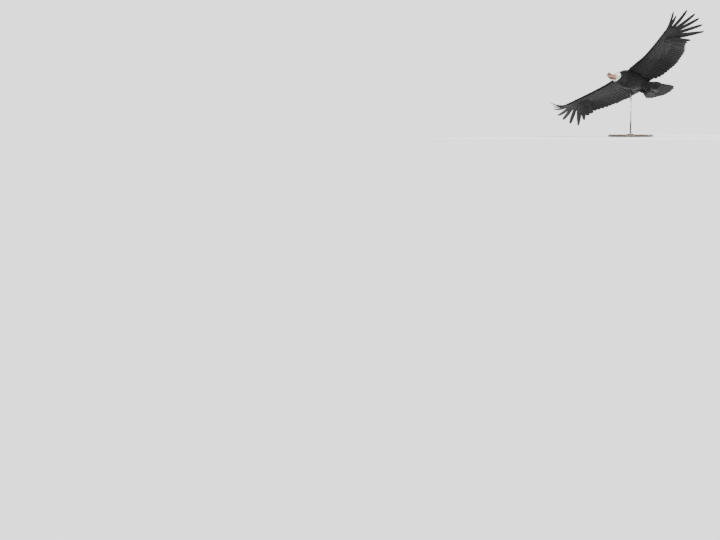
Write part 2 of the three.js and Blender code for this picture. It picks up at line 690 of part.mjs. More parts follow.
function foot(side, clear) {
  const from = sided(ANKLE, side);
  const to = sided(TOE_ROOT, side);
  const shank = limb([from, from.clone().lerp(to, 0.5), to], SHANK_RADII, SHANK_SIDES);
  const toes = TOES.map(({ reach, radius }) => {
    const end = to.clone().add(sided(reach, side));
    const knuckle = to.clone().lerp(end, 0.5).add(vector(0, 0, TOE_ARCH));
    const claw = end.clone().add(vector(0, CLAW.reach, -CLAW.drop));
    const radii = [...TOE_TAPER.map((share) => share * radius), CLAW.tip];
    return limb([to, knuckle, end, claw], radii, TOE_SIDES);
  });
  return fused([shank, ...toes], clear);
}

const bird = new THREE.Group();
const bank = new THREE.Matrix4().makeRotationX(-degToRad(PITCH_DEG))
  .multiply(new THREE.Matrix4().makeRotationY(-degToRad(BANK_DEG)));
bank.setPosition(-ROD_OFFSET[0], -ROD_OFFSET[1], SHOULDER_HEIGHT);
bird.applyMatrix4(bank);

// Finishes, as [colour, roughness, metalness]
const FINISHES = {
  plumage: [0x141416, 0.62, 0], ruff: [0xeeebe4, 0.9, 0], skin: [0x7a4a44, 0.6, 0],
  horn: [0xe4dcc6, 0.35, 0], eye: [0x3a1c10, 0.1, 0], scales: [0x55565a, 0.6, 0],
  wood: [0x2b2622, 0.45, 0], steel: [0x8d9094, 0.35, 1],
};
const materials = Object.fromEntries(Object.entries(FINISHES).map(([name, values]) => {
  const [color, roughness, metalness] = values;
  return [name, new THREE.MeshStandardMaterial({ color, roughness, metalness })];
}));

function node(name, solid, finish, group) {
  const { vertProperties, triVerts, numProp } = solid.getMesh();
  const count = vertProperties.length / numProp;
  const places = new Float32Array(count * 3);
  range(count).forEach((i) => {
    const from = i * numProp;
    places.set(vertProperties.subarray(from, from + 3), 3 * i);
  });
  const geometry = new THREE.BufferGeometry();
  geometry.setAttribute("position", new THREE.BufferAttribute(places, 3));
  geometry.setIndex(new THREE.BufferAttribute(triVerts, 1));
  geometry.computeVertexNormals();
  const mesh = new THREE.Mesh(geometry, materials[finish]);
  mesh.name = name;
  group.add(mesh);
}

const condor = new THREE.Group();
condor.add(bird);

const torso = torsoSolid();
const torsoGrown = torsoSolid(GAP);
const neckGrown = neckSolid(GAP);
const skullGrown = skullSolid(GAP);
const neck = fused([neckSolid()], [torsoGrown, skullGrown]);
const nostrils = [1, -1].map((hand) => ballAt(paired(NOSTRIL, hand), NOSTRIL.radius, 8, 6));
const upperBill = fused([billSolid(UPPER_BILL)], [skullGrown, ...nostrils]);
const lowerBill = fused([billSolid(LOWER_BILL)], [skullGrown, billSolid(UPPER_BILL, GAP)]);

node("torso", torso, "plumage", bird);
node("neck", neck, "skin", bird);
node("ruff", ruff([torsoGrown, neckGrown]), "ruff", bird);
node("head", head([neckGrown]), "skin", bird);
node("comb", fused([combSolid()], [skullGrown]), "skin", bird);
node("bill_upper", upperBill, "horn", bird);
node("bill_lower", lowerBill, "horn", bird);
[[1, "left"], [-1, "right"]].forEach(([side, word]) => {
  node(`eye_${word}`, ballAt(paired(EYE, side), EYE.radius), "eye", bird);
  node(`wing_${word}_arm`, wingArm(side, [torsoGrown]), "plumage", bird);
  node(`wing_${word}_hand`, wingHand(side), "plumage", bird);
  const thighSolid = thigh(side, [torsoGrown]);
  node(`thigh_${word}`, thighSolid, "plumage", bird);
  const room = thighSolid.translate([0, GAP, 0]);
  node(`foot_${word}`, foot(side, [thighSolid, room]), "scales", bird);
});
node("tail", tail([torsoGrown]), "plumage", bird);

// Stand: a round base, a flange and one rod up to the belly
const baseProfile = [
  [0, 0], [BASE_RADIUS, 0], [BASE_RADIUS, BASE_THICK - BASE_EDGE],
  [BASE_RADIUS - BASE_EDGE, BASE_THICK], [0, BASE_THICK],
].map(([r, z]) => new THREE.Vector2(r, z));
const standBase = new THREE.LatheGeometry(baseProfile, 40).rotateX(Math.PI / 2);
node("stand_base", solidOf(standBase), "wood", condor);

const flange = new THREE.CylinderGeometry(FLANGE_RADIUS, FLANGE_RADIUS, FLANGE_THICK, 28);
flange.rotateX(Math.PI / 2).translate(0, 0, BASE_THICK + GAP + FLANGE_THICK / 2);
const rodFoot = BASE_THICK + FLANGE_THICK + 2 * GAP;
const rodShape = (radius, foot, length) => solidOf(
  new THREE.CylinderGeometry(radius, radius, length, 24).rotateX(Math.PI / 2)
    .translate(0, 0, foot + length / 2),
);
node("stand_flange", solidOf(flange), "steel", condor);
const inStand = torsoGrown.transform(bank.elements);
const rodLength = SHOULDER_HEIGHT - ROD_TOP_DEPTH - rodFoot;
const rod = fused([rodShape(ROD_RADIUS, rodFoot, rodLength)], [inStand]);
node("stand_rod", rod, "steel", condor);

export default condor;
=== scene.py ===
"""Dresses the display model of a gliding condor: plumage, skin, bill, feet and stand.

Lengths are metres. The bird is made in a frame of its own, with x to its left, y to its tail and
z to its back, and its origin midway between the shoulders. to_world() banks it onto the stand.
"""

import json
import math

import bmesh
import bpy
import numpy as np
from bpy.props import FloatProperty, FloatVectorProperty, IntProperty, PointerProperty
from mathutils import Matrix, Vector

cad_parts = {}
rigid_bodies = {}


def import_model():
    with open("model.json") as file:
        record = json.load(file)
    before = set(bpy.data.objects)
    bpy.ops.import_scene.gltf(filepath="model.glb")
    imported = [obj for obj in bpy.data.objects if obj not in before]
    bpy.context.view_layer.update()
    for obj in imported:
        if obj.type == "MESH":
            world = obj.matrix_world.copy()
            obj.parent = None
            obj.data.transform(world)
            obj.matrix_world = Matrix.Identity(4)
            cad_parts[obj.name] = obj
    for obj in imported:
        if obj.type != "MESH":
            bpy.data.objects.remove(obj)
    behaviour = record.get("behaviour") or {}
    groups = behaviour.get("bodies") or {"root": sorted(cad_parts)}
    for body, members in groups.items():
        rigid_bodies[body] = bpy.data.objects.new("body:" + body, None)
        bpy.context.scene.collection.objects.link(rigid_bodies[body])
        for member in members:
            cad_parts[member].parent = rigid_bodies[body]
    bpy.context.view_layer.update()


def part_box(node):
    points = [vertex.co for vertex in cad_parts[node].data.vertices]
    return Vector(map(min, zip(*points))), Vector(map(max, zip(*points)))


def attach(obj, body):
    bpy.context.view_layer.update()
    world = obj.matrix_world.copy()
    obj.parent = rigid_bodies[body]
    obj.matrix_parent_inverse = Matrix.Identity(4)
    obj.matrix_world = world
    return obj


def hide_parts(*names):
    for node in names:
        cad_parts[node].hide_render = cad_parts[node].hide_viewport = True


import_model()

bl_info = {
    "name": "Condor display model",
    "version": (1, 0, 0),
    "blender": (4, 5, 0),
    "location": "3D View > Sidebar > Condor",
    "description": "Plumage, skin, bill, feet and stand of a life-size condor in a glide",
    "category": "Object",
}

# Pose of the bird on the stand
BANK = math.radians(27.8)
PITCH = math.radians(12.1)
SHOULDERS = np.array([-0.047, -0.045, 0.880])

# Wing outline as [x, y, z] from the shoulder outwards
LEADING_EDGE = [
    [0.080, -0.058, -0.062], [0.130, -0.034, -0.028], [0.200, -0.012, -0.005],
    [0.300, -0.005, 0.005], [0.500, -0.052, -0.011], [0.750, -0.118, -0.015],
    [1.050, -0.208, -0.016],
]
TRAILING_EDGE = [
    [0.084, 0.322, -0.116], [0.200, 0.404, -0.096], [0.300, 0.458, -0.058],
    [0.400, 0.482, -0.032], [0.500, 0.473, -0.027], [0.600, 0.440, -0.027],
    [0.750, 0.378, -0.032], [0.850, 0.305, -0.048], [0.960, 0.212, -0.066],
]
FLESH_REAR = [
    [0.080, 0.235], [0.300, 0.205], [0.500, 0.140], [0.750, 0.040], [0.900, -0.055],
    [1.050, -0.140],
]
FLESH_THICK = [
    [0.080, 0.092], [0.200, 0.078], [0.350, 0.060], [0.500, 0.047], [0.750, 0.033],
    [0.900, 0.021], [1.050, 0.011],
]
QUILL_DEPTH = [[0.080, 0.019], [0.750, 0.019], [0.950, 0.014], [1.050, 0.009]]
QUILL_SUNK = 0.046
CAMBER = 0.024
WRIST_X = 0.792
HAND_TIP_X = 1.042

# Primaries from the innermost, as [tip x, tip y, tip z, width]
PRIMARY_TIPS = [
    [0.985, 0.186, -0.090, 0.066], [1.042, 0.160, -0.098, 0.066], [1.128, 0.158, -0.112, 0.067],
    [1.332, 0.228, -0.072, 0.060], [1.402, 0.149, -0.026, 0.060], [1.441, 0.067, 0.032, 0.057],
    [1.450, -0.006, 0.080, 0.054], [1.412, -0.104, 0.134, 0.050], [1.292, -0.205, 0.084, 0.040],
    [1.296, -0.245, 0.134, 0.037],
]
FIRST_SLOTTED = 2
# How far the fingers of each wing (1 left, -1 right) reach, as a share of the lengths above
FINGER_REACH = {1: 0.97, -1: 1.05}
OUTERMOST_TIP_X = 0.940
INNERMOST_ROOT_X = 0.104
INNERMOST_TIP_X = 0.086

# Directions of the coverts seen from above, as [x, degrees outwards from straight back]
COVERT_LIE = [
    [0.08, -3], [0.30, 3], [0.55, 10], [0.75, 22], [0.85, 36], [0.95, 58], [1.05, 84],
]

# Tail fan
TAIL_APEX = np.array([0.0, 0.205, -0.118])
TAIL_ROOT = 0.180
TAIL_RADIUS = 0.458
TAIL_OUTER_RADIUS = 0.475
TAIL_HALF_SPREAD = math.radians(38.6)
TAIL_DROOP = math.radians(10.4)
TAIL_ROLL = math.radians(12.0)
TAIL_FLESH = [[0.2, 0.022], [0.5, 0.018], [0.78, 0.012], [1.0, 0.0095]]

# Torso sections as [y, half width, top z, bottom z]
TORSO = [
    [-0.205, 0.026, -0.108, -0.172], [-0.190, 0.044, -0.092, -0.192],
    [-0.150, 0.078, -0.060, -0.226], [-0.080, 0.112, -0.022, -0.256],
    [0.000, 0.126, -0.002, -0.264], [0.080, 0.126, 0.000, -0.258],
    [0.160, 0.112, -0.012, -0.242], [0.230, 0.090, -0.044, -0.220],
    [0.290, 0.062, -0.084, -0.198], [0.325, 0.040, -0.108, -0.180],
    [0.336, 0.020, -0.124, -0.164],
]
WIDEST_LEVEL = 0.56

# Neck path as (y, z) and its radius at shares of its length
NECK_PATH = [[-0.170, -0.142], [-0.205, -0.148], [-0.238, -0.156], [-0.266, -0.163]]
NECK_RADIUS = [[0, 0.044], [0.35, 0.039], [0.7, 0.035], [1, 0.031]]
RUFF_CENTRE = np.array([0.0, -0.186, -0.142])

# Middle of the head, and its sections as [forward, half width, top, bottom] from there
HEAD_CENTRE = np.array([0.0, -0.304, -0.160])
SKULL = [
    [-0.060, 0.012, 0.006, -0.016], [-0.054, 0.023, 0.017, -0.027],
    [-0.038, 0.031, 0.028, -0.033], [-0.016, 0.034, 0.033, -0.032],
    [0.006, 0.031, 0.031, -0.028], [0.022, 0.025, 0.026, -0.023],
    [0.036, 0.018, 0.019, -0.018], [0.047, 0.013, 0.015, -0.014], [0.051, 0.007, 0.010, -0.009],
]
# Mandible sections as [forward, up, half width, half height]
UPPER_BILL = [
    [0.036, 0.0045, 0.0125, 0.0090], [0.047, 0.0050, 0.0118, 0.0100],
    [0.058, 0.0040, 0.0102, 0.0094], [0.067, 0.0010, 0.0082, 0.0082],
    [0.074, -0.0050, 0.0060, 0.0064], [0.0775, -0.0130, 0.0038, 0.0042],
    [0.077, -0.0200, 0.0013, 0.0015],
]
LOWER_BILL = [
    [0.032, -0.0090, 0.0115, 0.0060], [0.045, -0.0090, 0.0100, 0.0054],
    [0.056, -0.0088, 0.0082, 0.0048], [0.065, -0.0094, 0.0056, 0.0037],
    [0.0705, -0.0106, 0.0024, 0.0017],
]
# Comb sections as [forward, half width, top, bottom]
COMB = [
    [0.046, 0.004, 0.021, 0.006], [0.041, 0.006, 0.033, 0.006], [0.032, 0.0065, 0.043, 0.008],
    [0.020, 0.0065, 0.052, 0.014], [0.004, 0.0065, 0.057, 0.018], [-0.012, 0.0062, 0.053, 0.020],
    [-0.025, 0.0052, 0.044, 0.020], [-0.034, 0.0032, 0.033, 0.020],
]
EYE = {"side": 0.0205, "forward": 0.015, "up": 0.009, "radius": 0.0088}

# Joints of the left leg, and its toes as [reach, radius]
HIP = np.array([0.046, 0.146, -0.182])
KNEE = np.array([0.046, 0.206, -0.199])
ANKLE = np.array([0.042, 0.292, -0.224])
TOE_ROOT = np.array([0.044, 0.394, -0.222])
TOES = [
    ([0.022, 0.078, 0.002], 0.0070), ([0.002, 0.098, -0.002], 0.0075),
    ([-0.018, 0.074, 0.000], 0.0070), ([-0.006, 0.040, -0.024], 0.0060),
]

# Stand
BASE_RADIUS = 0.300
ROD_RADIUS = 0.011

# Camera: where it stands, where it looks, and its lens, for a picture of 720 by 540
CAMERA_PLACE = (24.99, -19.99, 0.25)
CAMERA_TURN = math.radians(57.84)
CAMERA_DIP = math.radians(-3.664)
FOCAL_PIXELS = 2371.9
PICTURE_WIDTH = 720
SENSOR_WIDTH = 36.0

# Distances from the stand at which the floor begins and ends its fade into the backdrop
FLOOR_FADE = (1.2, 5.0)


def turned(axis, angle):
    """The matrix of a turn about an axis."""
    return np.array(Matrix.Rotation(angle, 3, axis))


BANKED = turned("X", -PITCH) @ turned("Y", -BANK)


def circle(count):
    """Angles of evenly spaced points all the way round."""
    return np.arange(count) / count * math.tau


def facing(side):
    """What turns places and directions of the left side (1) into those of a side."""
    return np.array([side, 1, 1])


def to_world(points):
    """Places in the frame of the stand of points in the bird's own."""
    return np.asarray(points, float) @ BANKED.T + SHOULDERS


def through(pairs):
    """A smooth curve through [place, value] pairs that never swings past them."""
    at, value = np.array(pairs, float).T
    span = np.diff(at)
    slope = np.diff(value) / span
    before = np.concatenate([slope[:1], slope])
    after = np.concatenate([slope, slope[-1:]])
    product = before * after
    total = np.where(np.abs(before + after) < 1e-12, 1.0, before + after)
    tangent = np.where(product <= 0, 0.0, 2 * product / total)

    def curve(x):
        x = np.asarray(x, float)
        i = np.clip(np.searchsorted(at, x, side="right") - 1, 0, len(at) - 2)
        t = np.clip((x - at[i]) / span[i], 0, 1)
        ease = t * t * (3 - 2 * t)
        leave = t * (1 - t) * (1 - t) * span[i] * tangent[i]
        arrive = t * t * (1 - t) * span[i] * tangent[i + 1]
        return value[i] + (value[i + 1] - value[i]) * ease + leave - arrive

    return curve


def column(rows, k):
    """A smooth curve through the kth value of each row, placed by its first."""
    return through([[row[0], row[k]] for row in rows])


def evenly(values):
    """A smooth curve through values at even steps from 0 to 1."""
    return through(np.stack([np.linspace(0, 1, len(values)), values], -1))


def unit(vectors):
    vectors = np.asarray(vectors, float)
    return vectors / np.maximum(np.linalg.norm(vectors, axis=-1, keepdims=True), 1e-12)


def lerp(a, b, t):
    return a + (b - a) * t


def smooth(edge_low, edge_high, x):
    """Rises from 0 to 1 between two edges."""
    t = np.clip((x - edge_low) / (edge_high - edge_low), 0, 1)
    return t * t * (3 - 2 * t)


def bell(x, width, power=2):
    """A bump of height 1 around 0."""
    return np.exp(-(x / width) ** power)


lead_y, lead_z = column(LEADING_EDGE, 1), column(LEADING_EDGE, 2)
trail_y, trail_z = column(TRAILING_EDGE, 1), column(TRAILING_EDGE, 2)
flesh_rear, flesh_thick = through(FLESH_REAR), through(FLESH_THICK)
quill_depth = through(QUILL_DEPTH)
covert_lie = through(COVERT_LIE)
tail_thick = through([[share * TAIL_ROOT, depth] for share, depth in TAIL_FLESH])


def mean_height(x, y):
    """Height of the wing's mean surface at a place seen from above."""
    share = np.clip((y - lead_y(x)) / (trail_y(x) - lead_y(x)), -0.1, 1)
    return lerp(lead_z(x), trail_z(x), share) + CAMBER * 4 * share * (1 - share)


def surface_up(x, y):
    """Direction square to the wing's mean surface."""
    step = 0.02
    flat, run = np.zeros_like(x), np.full_like(x, 2 * step)
    across = np.stack([run, flat, mean_height(x + step, y) - mean_height(x - step, y)], -1)
    along = np.stack([flat, run, mean_height(x, y + step) - mean_height(x, y - step)], -1)
    return unit(np.cross(across, along))


def flesh_point(x, chord_share, face, inset=0.0):
    """Point of the wing's flesh on its upper (face 1) or lower (face -1) side."""
    front = lead_y(x)
    y = front + chord_share * (flesh_rear(x) - front)
    depth = flesh_thick(x)
    fullness = 1.5 * (np.sqrt(chord_share) - chord_share) + quill_depth(x) / depth * chord_share
    half = np.maximum(depth * 0.5 * fullness - inset, 0.0004)
    return np.stack([x, y, mean_height(x, y) + face * half], -1)


def tail_point(angle, radius, lift):
    """Point of the drooping, turned tail fan."""
    angle, radius, lift = np.broadcast_arrays(angle, radius, lift)
    x, y = radius * np.sin(angle), radius * np.cos(angle)
    roll = TAIL_ROLL * (0.5 + 0.5 * radius / TAIL_RADIUS)
    rolled = x * np.cos(roll) + lift * np.sin(roll), y, lift * np.cos(roll) - x * np.sin(roll)
    return np.stack(rolled, -1) @ turned("X", -TAIL_DROOP).T + TAIL_APEX


def head_point(x, forward, up):
    """Point given from the middle of the head."""
    x, forward, up = np.broadcast_arrays(x, forward, up)
    return np.stack([x, -forward, up], -1) + HEAD_CENTRE


def fetch(items, field, kind=np.float32, width=3):
    """A field of all points, edges or faces of a mesh, as rows of an array."""
    found = np.empty(len(items) * width, kind)
    items.foreach_get(field, found)
    return found.reshape(-1, width)


def store(mesh, name, values):
    """Stores a number or a vector for each point, as a named attribute."""
    values = np.asarray(values, np.float32)
    kind, field = ("FLOAT_VECTOR", "vector") if values.ndim == 2 else ("FLOAT", "value")
    mesh.attributes.new(name, kind, "POINT").data.foreach_set(field, values.ravel())


def map_points(mesh, name, places):
    """Makes a UV map on which each face corner lies at its point's place."""
    corners = fetch(mesh.loops, "vertex_index", np.int32, 1)[:, 0]
    layer = mesh.uv_layers.new(name=name)
    layer.data.foreach_set("uv", np.asarray(places, np.float32)[corners].ravel())


def smooth_mesh(name, points, triangles):
    """A mesh of smooth triangles."""
    made = bpy.data.meshes.new(name)
    made.from_pydata(np.asarray(points).tolist(), [], np.asarray(triangles).tolist())
    made.polygons.foreach_set("use_smooth", np.ones(len(triangles), bool))
    return made


def face_outwards(mesh, merge=0.0):
    """Merges points nearer than merge, and turns the faces of a closed mesh outwards."""
    work = bmesh.new()
    work.from_mesh(mesh)
    if merge:
        bmesh.ops.remove_doubles(work, verts=work.verts, dist=merge)
    bmesh.ops.recalc_face_normals(work, faces=work.faces)
    work.to_mesh(mesh)
    work.free()
    mesh.update()


class Shape:
    """Points, triangles and named values of a mesh under construction."""

    def __init__(self):
        self.points, self.triangles, self.values = [], [], {}
        self.count = 0

    def loft(self, rings, capped=True, **values):
        """Skins closed rings, with a fan at each end if capped. Values are one for all or one a point."""
        rings = np.asarray(rings, float)
        rows, sides = rings.shape[:2]
        row, here = np.arange(rows - 1)[:, None] * sides, np.arange(sides)
        after = (here + 1) % sides
        a, b, c, d = row + here, row + after, row + after + sides, row + here + sides
        triangles = [np.stack(corners, -1).reshape(-1, 3) for corners in ((a, b, c), (a, c, d))]
        if capped:
            first, end_row = np.full(sides, rows * sides), (rows - 1) * sides
            triangles.append(np.stack([first, after, here], -1))
            triangles.append(np.stack([first + 1, end_row + here, end_row + after], -1))

        def listed(grid):
            flat = grid.reshape(rows * sides, *grid.shape[2:])
            return np.concatenate([flat, grid[[0, -1]].mean(axis=1)]) if capped else flat

        points = listed(rings)
        self.points.append(points)
        self.triangles.append(np.concatenate(triangles) + self.count)
        self.count += len(points)
        for name, value in values.items():
            value = np.asarray(value, float)
            full = listed(value) if value.ndim else np.full(len(points), value)
            self.values.setdefault(name, []).append(full)

    def mesh(self, name, place=to_world):
        """The finished mesh. place puts the points, given in the bird's frame, into that of the stand."""
        mesh = smooth_mesh(name, place(np.concatenate(self.points)), np.concatenate(self.triangles))
        for key, parts in self.values.items():
            value = np.concatenate(parts)
            keep = map_points if value.ndim == 2 else store
            keep(mesh, key, value)
        mesh.validate()
        face_outwards(mesh)
        return mesh


def placed(name, mesh, materials, replaces=()):
    """Puts a mesh in the scene as a piece that rides with the bird."""
    piece = bpy.data.objects.new(name, mesh)
    bpy.context.scene.collection.objects.link(piece)
    regions = fetch(mesh.polygons, "material_index", np.int32, 1)[:, 0]
    mesh.materials.clear()
    for material in materials:
        mesh.materials.append(material)
    mesh.polygons.foreach_set("material_index", np.minimum(regions, len(materials) - 1))
    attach(piece, "root")
    if replaces:
        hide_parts(*replaces)
    return piece


MADE = {}


def once(name, maker, *values):
    """What maker makes from the values, made only when first asked for."""
    if name not in MADE:
        MADE[name] = maker(*values)
    return MADE[name]


def finish(maker, name, *values):
    """The material of this name, made only when first asked for."""
    return once(name, maker, name, *values)


class Nodes:
    """Short ways to add nodes to a tree."""

    def __init__(self, tree):
        self.tree = tree

    def feed(self, socket, value):
        """Feeds an input from a socket, a node's first output, a number or a colour."""
        if isinstance(value, bpy.types.Node):
            value = value.outputs[0]
        if isinstance(value, bpy.types.NodeSocket):
            self.tree.links.new(value, socket)
        elif value is not None:
            socket.default_value = value

    def add(self, kind, inputs=(), **settings):
        made = self.tree.nodes.new(kind)
        for key, value in settings.items():
            setattr(made, key, value)
        for key, value in dict(inputs).items():
            self.feed(made.inputs[key], value)
        return made

    def math(self, operation, *values):
        return self.add("ShaderNodeMath", enumerate(values), operation=operation).outputs[0]

    def times(self, first, second):
        return self.math("MULTIPLY", first, second)

    def line(self, value, gain, offset):
        """value times gain, plus offset."""
        return self.math("MULTIPLY_ADD", value, gain, offset)

    def vector(self, operation, inputs):
        return self.add("ShaderNodeVectorMath", inputs, operation=operation)

    def mix(self, share, first, second):
        """A colour between two, by a share."""
        inputs = {0: share, 6: first, 7: second}
        return self.add("ShaderNodeMix", inputs, data_type="RGBA").outputs[2]

    def here(self):
        return self.add("ShaderNodeTexCoord").outputs["Object"]

    def mark(self, name):
        return self.add("ShaderNodeAttribute", attribute_name=name).outputs["Fac"]

    def noise(self, place, **inputs):
        return self.add("ShaderNodeTexNoise", {"Vector": place, **inputs}).outputs["Fac"]

    def clamped(self, value):
        return self.add("ShaderNodeClamp", {"Value": value}).outputs["Result"]

    def effect(self, maker, **values):
        """Places a shared effect, and gives its outputs."""
        group = once(maker.__name__, maker)
        return self.add("ShaderNodeGroup", values, node_tree=group).outputs


class Effect(Nodes):
    """A shader node group under construction, with named numbers in and out."""

    def __init__(self, name, inputs, outputs):
        super().__init__(bpy.data.node_groups.new(name, "ShaderNodeTree"))
        face = self.tree.interface
        for label, value in inputs.items():
            socket = face.new_socket(label, in_out="INPUT", socket_type="NodeSocketFloat")
            socket.default_value = value
        for label in outputs:
            face.new_socket(label, in_out="OUTPUT", socket_type="NodeSocketFloat")
        self.given = self.tree.nodes.new("NodeGroupInput").outputs
        self.result = self.tree.nodes.new("NodeGroupOutput").inputs

    def finished(self, **values):
        for label, value in values.items():
            self.feed(self.result[label], value)
        return self.tree


class Surface(Nodes):
    """A material under construction, with one Principled shader."""

    def __init__(self, name, **fixed):
        self.material = bpy.data.materials.new(name)
        self.material.use_nodes = True
        super().__init__(self.material.node_tree)
        self.shader = self.tree.nodes["Principled BSDF"]
        for key, value in fixed.items():
            self.shader.inputs[key.replace("_", " ")].default_value = value

    def finished(self, colour, rough=None, height=None, depth=0.0003, alpha=None):
        """Feeds the shader its colour, roughness, bump and alpha, and gives the material."""
        normal = None
        if height is not None:
            normal = self.add("ShaderNodeBump", {"Height": height, "Distance": depth}).outputs["Normal"]
        fed = {"Base Color": colour, "Roughness": rough, "Normal": normal, "Alpha": alpha}
        for key, value in fed.items():
            self.feed(self.shader.inputs[key], value)
        return self.material


def barbs():
    """Barbs slanting from the shaft to the edge of a feather, on its own map, and its shaft."""
    t = Effect("Barbs", {"Count": 60.0, "Slant": 0.35}, ("Height", "Shade", "Shaft"))
    place = t.add("ShaderNodeUVMap", uv_map="vane").outputs["UV"]
    split = t.add("ShaderNodeSeparateXYZ", {"Vector": place}).outputs
    aside = t.math("ABSOLUTE", t.math("SUBTRACT", split["X"], 0.5))
    along = t.math("SUBTRACT", split["Y"], t.times(aside, t.given["Slant"]))
    turns = t.times(t.times(along, t.given["Count"]), math.tau)
    wave = t.line(t.math("SINE", turns), 0.5, 0.5)
    uneven = t.times(t.noise(place, Scale=14.0, Detail=3.0), 0.75)
    shaft = t.math("LESS_THAN", aside, 0.025)
    height = t.math("ADD", wave, t.times(shaft, 3.0))
    return t.finished(Height=height, Shade=t.line(wave, 0.25, uneven), Shaft=shaft)


def mottle():
    """Uneven colour at two sizes, on Object coordinates."""
    t = Effect("Mottle", {"Scale": 8.0, "Contrast": 1.0}, ("Broad", "Fine"))
    place = t.here()
    made = {}
    for label, factor, detail in (("Broad", 1.0, 4.0), ("Fine", 9.0, 6.0)):
        noise = t.noise(place, Scale=t.times(t.given["Scale"], factor), Detail=detail)
        made[label] = t.line(t.math("SUBTRACT", noise, 0.5), t.given["Contrast"], 0.5)
    return t.finished(**made)


def creases():
    """Fine creases between small cells of skin or scale, on Object coordinates."""
    t = Effect("Creases", {"Scale": 300.0}, ("Height", "Crease"))
    place = t.here()
    bend = t.add("ShaderNodeTexNoise", {"Vector": place, "Scale": 60.0, "Detail": 3.0}).outputs["Color"]
    shifted = t.vector("MULTIPLY_ADD", {0: bend, 1: (0.006, 0.006, 0.006), 2: place})
    inputs = {"Vector": shifted, "Scale": t.given["Scale"]}
    cells = t.add("ShaderNodeTexVoronoi", inputs, feature="DISTANCE_TO_EDGE").outputs["Distance"]
    edge = t.add("ShaderNodeMapRange", {"Value": cells, "From Max": 0.12}).outputs["Result"]
    return t.finished(Height=edge, Crease=t.math("SUBTRACT", 1.0, edge))


def plumage_material(name, dark, light, barb_count, depth):
    """Glossy dark feathers, pale where the attribute white says so, each a little different."""
    t = Surface(name, Specular_IOR_Level=0.17)
    web = t.effect(barbs, Count=barb_count)
    patches = t.effect(mottle, Scale=6.0, Contrast=1.4)
    faded = (dark[0] * 2.6 + 0.003, dark[1] * 2.3 + 0.002, dark[2] * 2.0 + 0.001, 1.0)
    share = t.times(web["Shade"], t.line(t.mark("tone"), 0.7, 0.1))
    soiled = t.mix(t.times(web["Shade"], 0.5), light, (0.42, 0.41, 0.39, 1))
    colour = t.mix(t.mark("white"), t.mix(share, dark, faded), soiled)
    colour = t.mix(t.times(web["Shaft"], 0.8), colour, (0.012, 0.011, 0.011, 1))
    return t.finished(colour, t.line(patches["Fine"], 0.22, 0.30), web["Height"], depth)


def down_material(name, pale, shadow):
    """Soft white down, a little greyer between its barbs."""
    t = Surface(name, Roughness=0.9, Sheen_Weight=0.5, Sheen_Roughness=0.6, Specular_IOR_Level=0.2)
    web = t.effect(barbs, Count=36.0, Slant=0.6)
    share = t.line(t.mark("tone"), 0.45, t.times(web["Shade"], 0.25))
    return t.finished(t.mix(share, pale, shadow), None, web["Height"], 0.0002)


def skin_material(name, dark, flush):
    """Bare skin with fine creases: dark, and redder where the attribute flush says so, with painted shade in
    the creases.
    """
    t = Surface(name, Subsurface_Weight=0.06, Subsurface_Scale=0.01, Specular_IOR_Level=0.45)
    patches = t.effect(mottle, Scale=34.0, Contrast=2.4)
    cells = t.effect(creases, Scale=1150.0)
    share = t.math("SUBTRACT", t.line(patches["Broad"], 0.55, t.mark("flush")), 0.275)
    colour = t.mix(t.clamped(share), dark, flush)
    # Painted shade: the creases between cells of skin are darkened towards a deep red.
    crease_shade = t.times(cells["Crease"], t.times(patches["Fine"], 0.30))
    colour = t.mix(crease_shade, colour, (0.060, 0.028, 0.024, 1))
    height = t.line(cells["Height"], 0.5, patches["Fine"])
    return t.finished(colour, t.line(patches["Fine"], 0.3, 0.46), height)


def scale_material(name, grey, pale):
    """Scaled skin of the feet, dark where the attribute joint says so."""
    t = Surface(name, Specular_IOR_Level=0.5)
    cells = t.effect(creases, Scale=420.0)
    patches = t.effect(mottle, Scale=30.0, Contrast=1.5)
    colour = t.mix(patches["Broad"], grey, pale)
    colour = t.mix(t.times(cells["Crease"], 0.25), colour, (0.02, 0.02, 0.02, 1))
    colour = t.mix(t.mark("joint"), colour, (0.016, 0.015, 0.015, 1))
    return t.finished(colour, t.line(patches["Fine"], 0.25, 0.4), cells["Height"])


def horn_material(name, pale, dark):
    """Horn with fine growth lines, dark where the attribute dark says so."""
    t = Surface(name, Specular_IOR_Level=0.5, Coat_Weight=0.15, Coat_Roughness=0.2,
                Subsurface_Weight=0.05, Subsurface_Scale=0.005)
    patches = t.effect(mottle, Scale=60.0, Contrast=1.6)
    share = t.math("ADD", t.mark("dark"), t.line(patches["Broad"], 0.4, -0.2))
    colour = t.mix(t.clamped(share), pale, dark)
    return t.finished(colour, t.line(patches["Fine"], 0.25, 0.22), patches["Fine"])


def eye_material(name, iris):
    """Wet eye: a black pupil in a brown iris, by the attribute from_pupil in degrees."""
    t = Surface(name, Roughness=0.08, Coat_Weight=0.2, Coat_Roughness=0.02, Specular_IOR_Level=0.28)
    ramp = t.add("ShaderNodeValToRGB", {"Fac": t.math("DIVIDE", t.mark("from_pupil"), 90.0)})
    ring, middle, rim = (tuple(c * share for c in iris[:3]) for share in (0.6, 1.0, 0.35))
    stops = [(0.0, (0, 0, 0)), (0.20, (0.001, 0.001, 0.001)), (0.24, ring), (0.36, middle), (0.46, rim),
             (0.52, (0.01, 0.006, 0.005))]
    elements = ramp.color_ramp.elements
    for place, (_, colour) in zip(elements, (stops[0], stops[-1])):
        place.color = (*colour, 1)
    elements[0].position, elements[1].position = stops[0][0], stops[-1][0]
    for position, colour in stops[1:-1]:
        elements.new(position).color = (*colour, 1)
    return t.finished(ramp)


